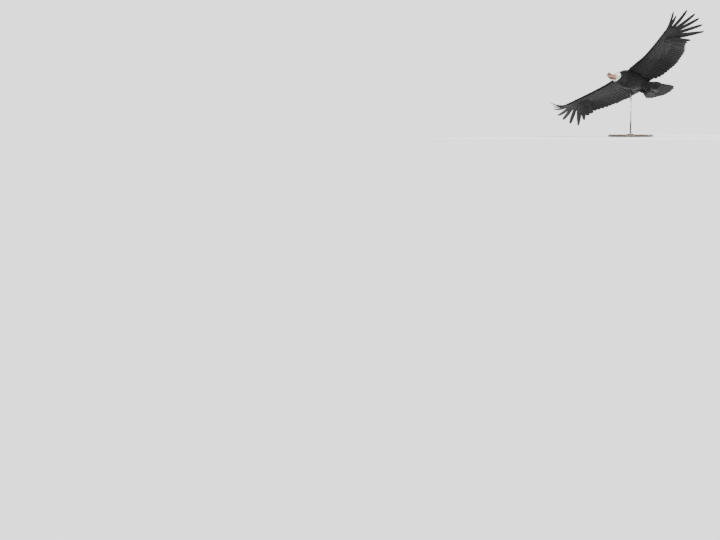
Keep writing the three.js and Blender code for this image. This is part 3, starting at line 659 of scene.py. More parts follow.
def wood_material(name, dark, light):
    """Stained hardwood with grain along x, under a satin coat."""
    t = Surface(name, Coat_Weight=0.3, Coat_Roughness=0.25)
    place = t.add("ShaderNodeMapping", {"Vector": t.here(), "Scale": (1.2, 26.0, 26.0)})
    grain = t.noise(place, Scale=3.0, Detail=9.0, Roughness=0.62)
    inputs = {"Vector": place, "Scale": 0.35, "Distortion": 6.0, "Detail": 3.0}
    rings = t.add("ShaderNodeTexWave", inputs).outputs["Fac"]
    colour = t.mix(t.line(grain, 0.7, t.times(rings, 0.3)), dark, light)
    return t.finished(colour, t.line(grain, 0.25, 0.28), grain)


def steel_material(name, colour):
    """Brushed steel with fine lines around it."""
    t = Surface(name, Metallic=1.0)
    patches = t.effect(mottle, Scale=20.0, Contrast=1.0)
    place = t.add("ShaderNodeMapping", {"Vector": t.here(), "Scale": (1.0, 1.0, 60.0)})
    lines = t.noise(place, Scale=30.0, Detail=4.0)
    worn = (*(c * 0.82 for c in colour[:3]), 1.0)
    tone = t.mix(patches["Broad"], colour, worn)
    return t.finished(tone, t.line(lines, 0.2, 0.2), lines, 0.00005)


def floor_material(name, colour, solid_to, gone_at):
    """Pale floor that fades into the backdrop between two distances from the middle."""
    t = Surface(name, Roughness=0.9, Specular_IOR_Level=0.2)
    patches = t.effect(mottle, Scale=0.6, Contrast=0.5)
    shaded = (*(c * 0.97 for c in colour[:3]), 1.0)
    distance = t.vector("LENGTH", {0: t.here()}).outputs["Value"]
    inputs = {"Value": distance, "From Min": solid_to, "From Max": gone_at, "To Min": 1.0, "To Max": 0.0}
    fade = t.add("ShaderNodeMapRange", inputs, interpolation_type="SMOOTHSTEP")
    return t.finished(t.mix(patches["Broad"], colour, shaded), alpha=fade)


def unit_feather(name, points, places, triangles, merge):
    """A closed small feather to copy, with its own map."""
    mesh = smooth_mesh(name, points, triangles)
    map_points(mesh, "vane", places)
    face_outwards(mesh, merge)
    return bpy.data.objects.new(name, mesh)


def small_feather(name, outline, bow, cup, turn):
    """A closed small feather a unit long along y, as [share of length, share of half width]."""
    points, places, triangles = [], [], []
    columns = (-1.0, 0.0, 1.0)
    for face in (1, -1):
        for t, share in outline:
            for q in columns:
                rise = bow * math.sin(math.pi * t) - cup * share * q * q
                thick = 0.006 * (1 - t) + 0.002
                inner = face * thick if q == 0 and 0 < t < 1 else 0.0
                points.append((0.5 * share * q + turn * t * t, t, rise + inner))
                places.append((0.5 + 0.5 * q, t))
    count = len(columns)
    under = len(outline) * count
    for i in range(len(outline) - 1):
        for j in range(count - 1):
            a, b = i * count + j, i * count + j + 1
            c, d = b + count, a + count
            triangles += [(a, b, c), (a, c, d)]
            a, b, c, d = (k + under for k in (a, b, c, d))
            triangles += [(a, c, b), (a, d, c)]
    return unit_feather(name, points, places, triangles, 1e-4)


# Half width of a blade of down a unit long
DOWN_WIDTH = 0.019


def wisp(name, blades, fan, bow, seed):
    """A tuft of down: narrow closed blades that fan out from one root and curl."""
    rng = np.random.default_rng(seed)
    points, places, triangles = [], [], []
    stations = [0.0, 0.5, 1.0]
    for k in range(blades):
        lean = fan * ((k + 0.5) / blades * 2 - 1) + 0.12 * rng.normal()
        rise = bow * (0.5 + rng.random())
        length = 0.72 + 0.28 * rng.random()
        curl = 0.5 * rng.normal()
        base = len(points)
        for t in stations:
            middle = np.array([
                math.sin(lean + curl * t) * t * length, math.cos(lean) * t * length,
                rise * math.sin(math.pi * 0.62 * t) + 0.02 * rng.normal() * t,
            ])
            half = DOWN_WIDTH * (1 - t) ** 0.5 * (0.7 + t)
            for q, drop in ((-1, -0.3), (0, 0.35), (1, -0.3)):
                points.append(middle + np.array([q * half, 0, drop * half]))
                places.append((0.5 + 0.5 * q, t))
        for i in range(len(stations) - 1):
            for j in range(3):
                a, b = base + i * 3 + j, base + i * 3 + (j + 1) % 3
                triangles += [(a, b, b + 3), (a, b + 3, a + 3)]
        triangles.append((base, base + 2, base + 1))
    return unit_feather(name, points, places, triangles, 1e-5)


# Outlines of small feathers, as (share of length, share of half width)
ROUNDED = [(0, 0.18), (0.14, 0.62), (0.42, 0.98), (0.7, 0.98), (0.9, 0.62), (1, 0.16)]
SQUARE = [(0, 0.2), (0.15, 0.7), (0.45, 1.0), (0.8, 1.0), (0.94, 0.74), (1, 0.3)]
POINTED = [(0, 0.2), (0.15, 0.7), (0.4, 1.0), (0.65, 0.8), (0.86, 0.42), (1, 0.05)]


def template_collection(name, feathers):
    """Feathers to copy, kept out of the scene."""
    found = bpy.data.collections.new(name)
    for feather in feathers:
        found.objects.link(feather)
    return found


def drop_collection(found):
    """Removes feathers that have been copied."""
    for item in list(found.objects):
        mesh = item.data
        bpy.data.objects.remove(item)
        bpy.data.meshes.remove(mesh)
    bpy.data.collections.remove(found)


# Size on the bake's map of one small feather
PATCH = 0.003


def coat_tree():
    """Geometry Nodes that set a feather at each root, along its lie, and map it for the bake."""
    t = Nodes(bpy.data.node_groups.new("Feather coat", "GeometryNodeTree"))
    for label, kind, value in (
        ("Geometry", "Geometry", None), ("Feathers", "Collection", None), ("Finish", "Material", None),
        ("Ruffle", "Float", 0.1), ("Size spread", "Float", 0.12), ("Patch", "Float", PATCH),
        ("Seed", "Int", 1),
    ):
        socket = t.tree.interface.new_socket(label, in_out="INPUT", socket_type="NodeSocket" + kind)
        if value is not None:
            socket.default_value = value
    t.tree.interface.new_socket("Geometry", in_out="OUTPUT", socket_type="NodeSocketGeometry")
    given = t.add("NodeGroupInput").outputs

    def named(label):
        return t.add("GeometryNodeInputNamedAttribute", {"Name": label}, data_type="FLOAT_VECTOR")

    def random_value(kind, low, high, step):
        first, second, out = {"FLOAT_VECTOR": (0, 1, 0), "FLOAT": (2, 3, 1), "INT": (4, 5, 2)}[kind]
        inputs = {first: low, second: high, "Seed": t.math("ADD", given["Seed"], step)}
        return t.add("FunctionNodeRandomValue", inputs, data_type=kind).outputs[out]

    roots = t.add("GeometryNodeMeshToPoints", {"Mesh": given["Geometry"]})
    choices = t.add("GeometryNodeCollectionInfo", {
        "Collection": given["Feathers"], "Separate Children": True, "Reset Children": True,
    })
    axes = {"primary_axis": "Z", "secondary_axis": "Y"}
    turn = t.add("FunctionNodeAxesToRotation", {0: named("up"), 1: named("lie")}, **axes)
    anyhow = random_value("FLOAT_VECTOR", (-1, -1, -1), (1, 1, 1), 1)
    stir = t.vector("SCALE", {0: anyhow, "Scale": given["Ruffle"]})
    stirred = t.add("FunctionNodeEulerToRotation", {0: stir})
    both = t.add("FunctionNodeRotateRotation", {0: turn, 1: stirred}, rotation_space="LOCAL")
    spread = t.times(random_value("FLOAT", -1.0, 1.0, 2), given["Size spread"])
    size = t.vector("SCALE", {0: named("size"), "Scale": t.math("ADD", spread, 1.0)})
    copies = t.add("GeometryNodeInstanceOnPoints", {
        "Points": roots, "Instance": choices, "Rotation": both, "Scale": size, "Pick Instance": True,
        "Instance Index": random_value("INT", 0, 997, 3),
    })
    real = t.add("GeometryNodeRealizeInstances", {0: copies})
    patch = t.add("ShaderNodeCombineXYZ", {"X": given["Patch"], "Y": given["Patch"]})
    spot = t.vector("MULTIPLY_ADD", {0: named("vane"), 1: patch, 2: named("root_place")})
    mapped = t.add("GeometryNodeStoreNamedAttribute", data_type="FLOAT2", domain="CORNER")
    for key, value in {"Geometry": real, "Name": "OFBake", "Value": spot}.items():
        t.feed(mapped.inputs[key], value)
    done = t.add("GeometryNodeSetMaterial", {"Geometry": mapped, "Material": given["Finish"]})
    t.add("NodeGroupOutput", {0: done})
    return t.tree


def evaluated_mesh(holder):
    """An object's mesh with its modifiers applied. The object and its own mesh are removed."""
    evaluated = holder.evaluated_get(bpy.context.evaluated_depsgraph_get())
    made = bpy.data.meshes.new_from_object(evaluated)
    mesh = holder.data
    bpy.data.objects.remove(holder)
    bpy.data.meshes.remove(mesh)
    return made


def coat(name, roots, feathers, material, *, seed, ruffle=0.08, spread=0.12, replaces=()):
    """Grows feathers from roots, as roots_at() gives them."""
    mesh = bpy.data.meshes.new(name + "_roots")
    mesh.from_pydata(to_world(roots["place"]).tolist(), [], [])
    for key in ("up", "lie"):
        store(mesh, key, roots[key] @ BANKED.T)
    for key in ("size", "root_place", "tone", "white"):
        store(mesh, key, roots[key])
    source = bpy.data.objects.new(name + "_roots", mesh)
    bpy.context.scene.collection.objects.link(source)
    modifier = source.modifiers.new("Coat", "NODES")
    modifier.node_group = once("coat", coat_tree)
    given = {
        "Feathers": feathers, "Finish": material, "Ruffle": ruffle, "Size spread": spread, "Patch": PATCH,
        "Seed": seed,
    }
    for socket in modifier.node_group.interface.items_tree:
        if socket.in_out == "INPUT" and socket.name in given:
            modifier[socket.identifier] = given[socket.name]
    bpy.context.view_layer.update()
    grown = evaluated_mesh(source)
    grown.name = name
    for key in ("up", "lie", "size", "root_place", "radius"):
        if key in grown.attributes:
            grown.attributes.remove(grown.attributes[key])
    if len(grown.polygons) == 0:
        raise RuntimeError(name + " grew no feathers")
    return placed(name, grown, [material], replaces)


def gathered(parts):
    """Joins dicts of root arrays into one."""
    return {key: np.concatenate([part[key] for part in parts]) for key in parts[0]}


def roots_at(place, up, lie, length, width, spot, rng, white=0.0, tilt=0.0):
    """Root arrays for feathers on a surface, tipped up a little from it."""
    count = len(place)
    up = unit(up)
    lie = unit(lie - up * np.sum(lie * up, -1, keepdims=True))
    length, width, white = (np.broadcast_to(value, (count,)) for value in (length, width, white))
    return {
        "place": place, "up": unit(up * np.cos(tilt) - lie * np.sin(tilt)),
        "lie": unit(lie * np.cos(tilt) + up * np.sin(tilt)), "size": np.stack([width, length, length], -1),
        "root_place": np.concatenate([spot, np.zeros((count, 1))], -1), "tone": rng.random(count),
        "white": white,
    }


# Long feathers: slant of their barbs, wear of their edges, and points across half a web and its thickness
BARB_SLANT = 1.35
EDGE_WEAR = 0.006
WEB_POINTS = 4
WEB_THICK = 0.0006
QUILL_SIDES = 6
QUILL_STATIONS = 14


def long_feather(shape, line, up, width, outline, rng, *, roll, cell, twist=0.0, shaft_at=0.0,
                 rows=26, cup=0.05, quill=0.0022, white=None):
    """A flight or tail feather: a tapering shaft between two thin closed webs."""
    half_at = through(outline)
    tone = rng.random()
    length = float(np.linalg.norm(line(np.array([1.0])) - line(np.array([0.0]))))
    sweep = BARB_SLANT * 0.5 * width / length
    low = np.array(cell[:2])
    span = np.array(cell[2:]) - low

    def surface(t, q):
        """Points at share t of the length and q of the half width, with the side and normal there."""
        along = unit(line(np.clip(t + 0.02, 0, 1.02)) - line(np.clip(t - 0.02, -0.02, 1)))
        side = unit(np.cross(along, up(np.clip(t, 0, 1))))
        normal = np.cross(side, along)
        turned_by = (roll + twist * smooth(0.10, 0.45, t))[:, None]
        side = side * np.cos(turned_by) - normal * np.sin(turned_by)
        normal = np.cross(side, along)
        half = 0.5 * width * half_at(t)
        drop = cup * half * (q - shaft_at) ** 2 * 2.0
        return line(t) + side * (q * half)[:, None] - normal * drop[:, None], side, normal

    share = np.linspace(0, 1, WEB_POINTS)
    t_rows = 1 - (1 - np.linspace(0.0, 1.0, rows)[:, None]) ** 1.4
    t = np.clip(t_rows + sweep * share * (1 - t_rows) ** 0.3, 0, 1)
    depth = (WEB_THICK * 0.5 * (1 - 0.6 * share))[:, None]
    for sign in (-1, 1):
        wear = np.where(share > 0.9, 1 + EDGE_WEAR * rng.normal(size=(rows, 1)), 1.0)
        q = shaft_at + (sign - shaft_at) * share * wear
        middle, _, normal = (part.reshape(rows, WEB_POINTS, 3) for part in surface(t.ravel(), q.ravel()))
        rings = np.concatenate([middle + normal * depth, (middle - normal * depth)[:, ::-1]], 1)
        place = np.stack([0.5 + 0.5 * q, t], -1)
        vane = np.concatenate([place, place[:, ::-1]], 1)
        baked = vane * np.array([0.48, 1.0])
        baked[:, WEB_POINTS:, 0] += 0.5
        above = white(t, q) if white else np.zeros_like(t)
        pale = np.concatenate([above, np.zeros_like(t)], 1)
        shape.loft(rings, vane=vane, OFBake=low + baked * span, white=pale, tone=tone)
    t = np.linspace(0, 0.97, QUILL_STATIONS)
    middle, side, normal = surface(t, np.full(QUILL_STATIONS, shaft_at))
    radius = quill * (1 - 0.86 * t)
    angle = circle(QUILL_SIDES)[:, None]
    ring = side[:, None] * np.cos(angle) + normal[:, None] * np.sin(angle)
    place = np.stack(np.broadcast_arrays(0.5, np.repeat(t[:, None], QUILL_SIDES, 1)), -1)
    baked = low + place * np.array([0.98, 1.0]) * span
    shape.loft(middle[:, None] + ring * radius[:, None, None], vane=place, OFBake=baked, white=0.0, tone=tone)


def laid_line(start, end, lift, tip_lift):
    """A line over the wing's mean surface, from a root to a tip seen from above."""
    def line(t):
        t = np.asarray(t, float)
        x, y = lerp(start[0], end[0], t), lerp(start[1], end[1], t)
        return np.stack([x, y, mean_height(x, y) + lerp(lift, tip_lift, t)], -1)

    def up(t):
        return surface_up(lerp(start[0], end[0], t), lerp(start[1], end[1], t))

    return line, up


def upright(t):
    """The direction above a feather that lies level."""
    return np.broadcast_to([0.0, 0.0, 1.0], (len(t), 3))


def secondary_ends(share):
    """Root and tip, seen from above, of a secondary at a share of the way from wrist to shoulder."""
    root_x = lerp(WRIST_X - 0.006, INNERMOST_ROOT_X, share)
    tip_x = lerp(OUTERMOST_TIP_X, INNERMOST_TIP_X, share)
    return (root_x, float(flesh_rear(root_x)) - QUILL_SUNK), (tip_x, float(trail_y(tip_x)))


def primary_line(k):
    """The bent line of a primary, counted from the innermost."""
    tip = np.array(PRIMARY_TIPS[k][:3])
    share = k / (len(PRIMARY_TIPS) - 1)
    root_x = lerp(WRIST_X + 0.014, HAND_TIP_X - 0.018, share)
    rear_y = float(flesh_rear(root_x)) - QUILL_SUNK
    root_y = lerp(rear_y, float(lead_y(root_x)) + 0.022, share ** 3)
    root = np.array([root_x, root_y, float(mean_height(root_x, root_y))])
    middle = (root + tip) / 2
    middle[2] = lerp(root[2], tip[2], 0.06 if tip[2] > root[2] else 0.5)

    def line(t):
        t = np.asarray(t, float)[:, None]
        return root * (1 - t) ** 2 + 2 * middle * t * (1 - t) + tip * t * t

    return line


def mirrored(function, side):
    """The same line or direction on the bird's other side."""
    return lambda t: function(t) * facing(side)


# Outlines of long feathers, as [share of length, share of half width]
BROAD = [[0, 0.25], [0.42, 1], [0.88, 0.98], [0.95, 0.82], [0.985, 0.5], [1, 0.18]]
FINGER = [
    [0, 0.3], [0.14, 0.92], [0.27, 0.95], [0.42, 0.83], [0.6, 0.86], [0.86, 0.70], [0.96, 0.46], [1, 0.12],
]
INNER_FINGER = [
    [0, 0.3], [0.25, 1.10], [0.50, 1.18], [0.66, 1.02], [0.86, 0.66], [0.96, 0.44], [1, 0.12],
]
LEAF = [[0, 0.35], [0.6, 1], [0.88, 0.9], [1, 0.3]]
# Turn of each feather about its shaft, and the further twist of the fingers
FEATHER_ROLL = math.radians(4)
FINGER_ROLL = math.radians(7)
FINGER_TWIST = math.radians(22)
# Width of all the secondaries and of all the greater coverts laid side by side
SECONDARIES_WIDTH = 0.066 * 21
COVERTS_WIDTH = 0.066 * 19


def cell_of(index, grid):
    """A place of its own on the bake's map for one long feather, out of grid by grid."""
    size = 1 / grid
    left, low = index % grid * size, index // grid * size
    return left + 0.04 * size, low + 0.02 * size, left + 0.96 * size, low + 0.98 * size


def flight_feathers(side, settings):
    """Primaries, secondaries and their greater coverts of one wing, as one shape."""
    rng = np.random.default_rng(settings.seed + (3 if side > 0 else 5))
    shape = Shape()
    cells = iter(range(400))
    count, covers, panel = settings.secondaries, settings.greater_coverts, settings.pale_panel
    outer = -side

    def put(line, up, width, outline, shaft_at, roll=FEATHER_ROLL, twist=0.0, **rest):
        long_feather(shape, mirrored(line, side), mirrored(up, side), width, outline, rng, roll=roll * outer,
                     twist=twist * outer, shaft_at=shaft_at * outer, cell=cell_of(next(cells), 12), **rest)

    def pale_web(t, q):
        """White on the outer web, short of the feather's tip."""
        return panel * smooth(-0.1, 0.25, outer * q) * smooth(0.02, 0.1, t) * (1 - smooth(0.86, 0.91, t))

    def pale_cover(t, q):
        return panel * (1 - smooth(0.86, 0.94, t)) * np.ones_like(q)

    def part_of(whole, reach, lift=0.0):
        """The first part of a line, set off upwards."""
        return lambda t: whole(np.asarray(t) * reach) + np.array([0, 0, lift])

    for k in range(count):
        start, end = secondary_ends(k / (count - 1))
        end = (end[0], end[1] + 0.004 * rng.normal())
        line, up = laid_line(start, end, 0.0, 0.0)
        put(line, up, SECONDARIES_WIDTH / count, BROAD, 0.28, white=pale_web, quill=0.0020)
    for k, (*_, width) in enumerate(PRIMARY_TIPS):
        whole = primary_line(k)
        if k < FIRST_SLOTTED:
            put(whole, upright, width, BROAD, 0.32, rows=34, quill=0.0030)
            continue
        finger = FINGER if k > FIRST_SLOTTED + 1 else INNER_FINGER
        put(part_of(whole, FINGER_REACH[side]), upright, width, finger, 0.42, roll=FINGER_ROLL,
            twist=FINGER_TWIST, rows=34, quill=0.0030)
    for face in (1, -1):
        white = pale_cover if face > 0 else None
        for k in range(covers):
            start, end = secondary_ends(k / (covers - 1))
            reach = (0.47 if face > 0 else 0.41) + 0.012 * rng.normal()
            stop = (lerp(start[0], end[0], reach), lerp(start[1], end[1], reach))
            line, up = laid_line(start, stop, face * 0.006, face * 0.0045)
            put(line, up, COVERTS_WIDTH / covers, LEAF, 0.15, rows=16, white=white, quill=0.0012,
                cup=0.08 * face)
        for k in range(len(PRIMARY_TIPS)):
            reach = (0.36 if k >= FIRST_SLOTTED else 0.45) + 0.012 * rng.normal()
            put(part_of(primary_line(k), reach, face * 0.0055), upright, 0.048 if k < 8 else 0.034, LEAF, 0.2,
                rows=14, quill=0.0012, cup=0.08 * face)
    return shape


# Depth of the wing that small coverts clothe, where their rows start, and spacing round the front edge
COVERED_CHORD = 0.20
COVERTS_FROM = 0.092
EDGE_SPACING = 0.0085


def wing_roots(side, settings):
    """Roots of the lesser and median coverts on both faces of one wing, and round its front edge."""
    rng = np.random.default_rng(settings.seed + (7 if side > 0 else 9))
    flip, spacing, parts = facing(side), settings.covert_spacing, []

    def put(place, up, lie, length, width, spot, white=0.0):
        parts.append(roots_at(place * flip, up * flip, lie * flip, length, width, spot, rng, white, 0.05))

    rows = int(COVERED_CHORD / spacing) + 2
    for face in (1, -1):
        half = 0.0 if face > 0 else 0.5
        for row in range(rows):
            x = np.arange(COVERTS_FROM + (row % 2) * spacing / 2, HAND_TIP_X - 0.01, spacing)
            x = x[spacing * row < (flesh_rear(x) - lead_y(x)) * 1.15 + 0.004]
            x = x + 0.12 * spacing * rng.normal(size=len(x))
            share = ((row + 0.3) / rows) * 0.94
            chord = np.clip(share + 0.01 * rng.normal(size=len(x)), 0.004, 0.97)
            place = flesh_point(x, chord, face, 0.0015)
            ahead = flesh_point(x, np.clip(chord + 0.02, 0, 1), face, 0.0015)
            aside = flesh_point(x + 0.004, chord, face, 0.0015)
            normal = unit(np.cross(aside - place, ahead - place)) * face
            angle = np.radians(covert_lie(x))
            lie = np.stack([np.sin(angle), np.cos(angle), np.zeros_like(x)], -1)
            grown = lerp(1.0, 0.7, smooth(0.8, 1.05, x))
            length = lerp(0.025, 0.060, np.clip(chord, 0, 1) ** 1.3) * grown
            spot = np.stack([half + 0.48 * (x / 1.1), 0.02 + 0.94 * chord], -1)
            pale = settings.pale_panel * 0.9 * smooth(0.80, 0.93, chord) * (x < 0.83) if face > 0 else 0.0
            put(place, normal, lie, length, length * lerp(0.72, 0.6, chord), spot, pale)
    for lean in (-65, -35, 0, 35, 65):
        x = np.arange(0.094, HAND_TIP_X - 0.004, EDGE_SPACING)
        x = x + 0.0012 * rng.normal(size=len(x))
        place = flesh_point(x, 0.0005, 1)
        outwards = unit(flesh_point(x + 0.004, 0.0005, 1) - place)
        above = surface_up(x, place[:, 1] + 0.01)
        backwards = np.cross(above, outwards)
        backwards = unit(backwards) * np.sign(backwards[:, 1:2])
        turn = math.radians(lean)
        normal = above * math.sin(turn) - backwards * math.cos(turn)
        place = place + backwards * 0.003 + normal * 0.001
        lie = outwards * (0.55 * math.cos(turn) + 0.15) + backwards * (0.35 + abs(math.sin(turn)))
        length = 0.022 * lerp(1.0, 0.75, smooth(0.8, 1.05, x))
        half = 0.0 if lean >= 0 else 0.5
        spot = np.stack([half + 0.48 * (x / 1.1), np.full_like(x, 0.012)], -1)
        put(place, normal, lie, length, length * 0.7, spot)
    return gathered(parts)


def outward(angle):
    """Directions in a section across the bird."""
    return np.stack([np.cos(angle), np.zeros(len(angle)), np.sin(angle)], -1)


def staggered(count, row, stray, rng):
    """Angles all the way round, half a step on in every other row, each a little astray."""
    return (np.arange(count) + (row % 2) / 2 + stray * rng.normal(size=count)) / count * math.tau


# Depth of the roots of the body's feathers under the torso's surface
BODY_INSET = 0.007


torso_width, torso_top, torso_bottom = (column(TORSO, k) for k in (1, 2, 3))


def torso_point(y, angle, inset):
    """Point at a depth under the torso's surface, by its section and its angle from the left side."""
    width, top, bottom = torso_width(y), torso_top(y), torso_bottom(y)
    level = lerp(bottom, top, WIDEST_LEVEL)
    rise = np.where(np.sin(angle) > 0, top - level, level - bottom) - inset
    return np.stack([(width - inset) * np.cos(angle), y + 0 * angle, level + rise * np.sin(angle)], -1)


def body_roots(settings):
    """Roots of the contour feathers on the torso, clear of where the wings leave it."""
    rng = np.random.default_rng(settings.seed + 13)
    length_at = through([[-0.20, 0.026], [-0.10, 0.036], [0.10, 0.046], [0.33, 0.070]])
    parts = []
    spacing = settings.body_spacing
    for row, y in enumerate(np.arange(-0.196, 0.330, spacing * 0.85)):
        girth = math.pi * (torso_width(y) + (torso_top(y) - torso_bottom(y)) / 2)
        count = max(8, int(girth / spacing))
        angle = staggered(count, row, 0.12, rng)
        ys = np.clip(y + 0.12 * spacing * rng.normal(size=count), -0.204, 0.334)
        place = torso_point(ys, angle, BODY_INSET)
        ahead = torso_point(ys + 0.004, angle, BODY_INSET) - place
        aside = torso_point(ys, angle + 0.03, BODY_INSET) - place
        normal = unit(np.cross(ahead, aside))
        normal *= np.sign(np.sum(normal * outward(angle), -1, keepdims=True))
        x = np.abs(place[:, 0])
        inside = (x > 0.084) & (place[:, 1] > lead_y(x) + 0.012) & (place[:, 1] < flesh_rear(x))
        inside &= np.abs(place[:, 2] - mean_height(x, place[:, 1])) < flesh_thick(x) * 0.42
        length = length_at(ys)
        spot = np.stack([(angle / math.tau) % 1 * 0.98 + 0.01, (ys + 0.21) / 0.56], -1)
        made = roots_at(place, normal, ahead, length, length * 0.62, spot, rng, tilt=0.07)
        parts.append({key: value[~inside] for key, value in made.items()})
    return gathered(parts)


def rump_roots(settings):
    """Roots of the feathers that cover the base of the tail, above and below."""
    rng = np.random.default_rng(settings.seed + 17)
    parts = []
    for face in (1, -1):
        for row, radius in enumerate(np.arange(0.075, TAIL_ROOT + 0.004, 0.014)):
            count = max(5, int(2 * TAIL_HALF_SPREAD * 1.05 * radius / 0.013))
            share = (np.arange(count) + 0.5 + (row % 2 - 0.5) / 2) / count * 2 - 1
            angle = share * TAIL_HALF_SPREAD * 1.06
            lift = face * (tail_thick(radius) * (1 - 0.3 * share ** 2) - 0.002)
            place = tail_point(angle, radius, lift)
            ahead = tail_point(angle, radius + 0.01, lift) - place
            up = (tail_point(0.0, radius, 0.01) - tail_point(0.0, radius, 0.0)) * face
            length = lerp(0.07, 0.115, (radius - 0.075) / 0.105)
            half = 0.0 if face > 0 else 0.5
            spot = np.stack(np.broadcast_arrays(0.5 + 0.45 * share, half + radius * 2.4), -1)
            parts.append(roots_at(place, np.broadcast_to(up, place.shape), ahead, length, length * 0.45, spot,
                                  rng, tilt=0.03))
    return gathered(parts)


# Coverts at the root of the fan, on each face
TAIL_COVERTS = 11


def tail_feathers(settings):
    """The fan of tail feathers and the longest coverts on both of its faces."""
    rng = np.random.default_rng(settings.seed + 19)
    shape = Shape()
    count = settings.tail_feathers
    cells = iter(range(36))
    above = tail_point(0.0, 0.0, 1.0) - tail_point(0.0, 0.0, 0.0)

    def put(share, spread, start, reach, lift, *looks, **rest):
        """A feather of the fan, by its share of the spread (-1 to 1) and where it starts and ends."""
        def line(t):
            return tail_point(share * TAIL_HALF_SPREAD * spread, lerp(start, reach, np.asarray(t)), lift)
        long_feather(shape, line, lambda t: np.broadcast_to(above, (len(t), 3)), *looks, rng,
                     roll=math.copysign(FEATHER_ROLL, share), cell=cell_of(next(cells), 6), **rest)

    for k in range(count):
        share = (k + 0.5) / count * 2 - 1
        reach = lerp(TAIL_RADIUS, TAIL_OUTER_RADIUS, share * share) + 0.004 * rng.normal()
        put(share, 1.0, 0.116, reach, 0.0018 if k == count // 2 else 0.0, 0.067, BROAD,
            shaft_at=0.25 * np.sign(share), rows=32)
    for face in (1, -1):
        for k in range(TAIL_COVERTS):
            share = (k + 0.5) / TAIL_COVERTS * 2 - 1
            reach = (0.282 if face > 0 else 0.300) - 0.035 * abs(share) + 0.006 * rng.normal()
            put(share, 0.93, 0.120, reach, face * (0.006 + 0.0008 * (k % 2)), 0.046, LEAF,
                rows=14, quill=0.0012, cup=0.08 * face)
    return shape


def limb_point(path, radii, t, angle, inset=0.0):
    """Points on a round limb along a path of points, bent smoothly, with the directions out and along."""
    path = np.array(path, float)
    curves = [evenly(path[:, i]) for i in range(3)]

    def middle(t):
        return np.stack([curve(t) for curve in curves], -1)

    along = unit(middle(np.clip(t + 0.01, 0, 1)) - middle(np.clip(t - 0.01, 0, 1)))
    side = unit(np.cross(along, [0.0, 0.0, 1.0]))
    rise = np.cross(side, along)
    out = side * np.cos(angle)[:, None] + rise * np.sin(angle)[:, None]
    return middle(t) + out * (evenly(radii)(t) - inset), out, along


THIGH = [HIP, KNEE, ANKLE]


# Radii at even steps from the hip to the ankle
THIGH_RADII = [0.028, 0.031, 0.029, 0.024, 0.018, 0.013]


def thigh_roots(side, settings):
    """Roots of the trousers of soft feathers that fall from the thigh over the shank."""
    rng = np.random.default_rng(settings.seed + (23 if side > 0 else 29))
    flip, parts = facing(side), []
    for row, t in enumerate(np.linspace(0.12, 1.0, 16)):
        count = max(9, int(math.tau * evenly(THIGH_RADII)(t) / 0.011))
        angle = staggered(count, row, 0.15, rng)
        place, out, along = limb_point(THIGH, THIGH_RADII, t, angle, 0.003)
        along = np.broadcast_to(along, place.shape)
        length = lerp(0.042, 0.060, t)
        left = np.clip(0.25 + 0.22 * side + 0.4 * (angle / math.tau % 1), 0.01, 0.99)
        spot = np.stack([left, np.full(count, 0.02 + 0.95 * t)], -1)
        parts.append(roots_at(place * flip, out * flip, along * flip, length, length * 0.5, spot, rng,
                              tilt=0.06))
    return gathered(parts)


# Collar under the ruff, as [place along the neck, radius], and the ends of the down on it
RUFF_PROFILE = [
    [-0.036, 0.031], [-0.030, 0.037], [-0.020, 0.046], [-0.008, 0.052], [0.004, 0.053], [0.010, 0.050],
    [0.016, 0.044],
]
RUFF_FRONT = -0.035
RUFF_REAR = 0.015
RUFF_ROWS = 39
RUFF_LAYERS = 3
# Share by which the ruff is thinner under the throat
THROAT_THINNER = 0.18


def ruff_centre(back):
    """Middle of the collar at a place along the neck, which dips with the neck in front."""
    dip = 0.010 * smooth(0.004, -0.036, back)
    return RUFF_CENTRE + np.array([0, back, -dip])


def ruff_thin(angle):
    """How much thinner the ruff is at a place around it: up to 1 under the throat."""
    return smooth(-0.25, -0.95, np.sin(angle))


def ruff_bed():
    """The rounded collar that the down grows from."""
    shape = Shape()
    radius_at = through(RUFF_PROFILE)
    sides, stations = 64, 24
    angle = circle(sides)
    thinner = 1 - THROAT_THINNER * ruff_thin(angle)
    rings = [
        ruff_centre(back) + outward(angle) * ((radius_at(back) - 0.002) * thinner)[:, None]
        for back in np.linspace(RUFF_FRONT - 0.0005, RUFF_REAR + 0.0005, stations)
    ]
    shape.loft(rings, vane=np.full((stations, sides, 2), 0.5), tone=0.6)
    return shape


def ruff_roots(settings, layer):
    """Roots of the down on one layer's rows of the ruff, which stands out in front and lies back behind."""
    rng = np.random.default_rng(settings.seed + 31 + layer)
    profile = through(RUFF_PROFILE)
    parts = []
    for row in range(layer, RUFF_ROWS, RUFF_LAYERS):
        along = row / (RUFF_ROWS - 1)
        back = lerp(RUFF_FRONT, RUFF_REAR, along)
        radius = float(profile(back))
        count = int(math.tau * radius / settings.down_spacing)
        angle = (np.arange(count) + rng.random(count) * 0.9) / count * math.tau
        out, thin = outward(angle), ruff_thin(angle)
        place = ruff_centre(back) + out * (radius * (1 - THROAT_THINNER * thin))[:, None]
        place += 0.0015 * rng.normal(size=(count, 3))
        lean = lerp(-0.45, 1.25, along) + 0.18 * rng.normal(size=count)[:, None]
        lie = out * np.cos(lean) + np.array([0, 1.0, 0]) * np.sin(lean)
        up = out * np.sin(lean) - np.array([0, 1.0, 0]) * np.cos(lean)
        length = lerp(0.016, 0.025, rng.random(count)) * lerp(0.75, 1.0, math.sin(along * math.pi))
        length *= 1 - 0.45 * thin
        spot = np.stack([angle / math.tau * 0.98 + 0.01, np.full(count, 0.03 + 0.92 * row / RUFF_ROWS)], -1)
        parts.append(roots_at(place, up, lie, length, length, spot, rng))
    return gathered(parts)


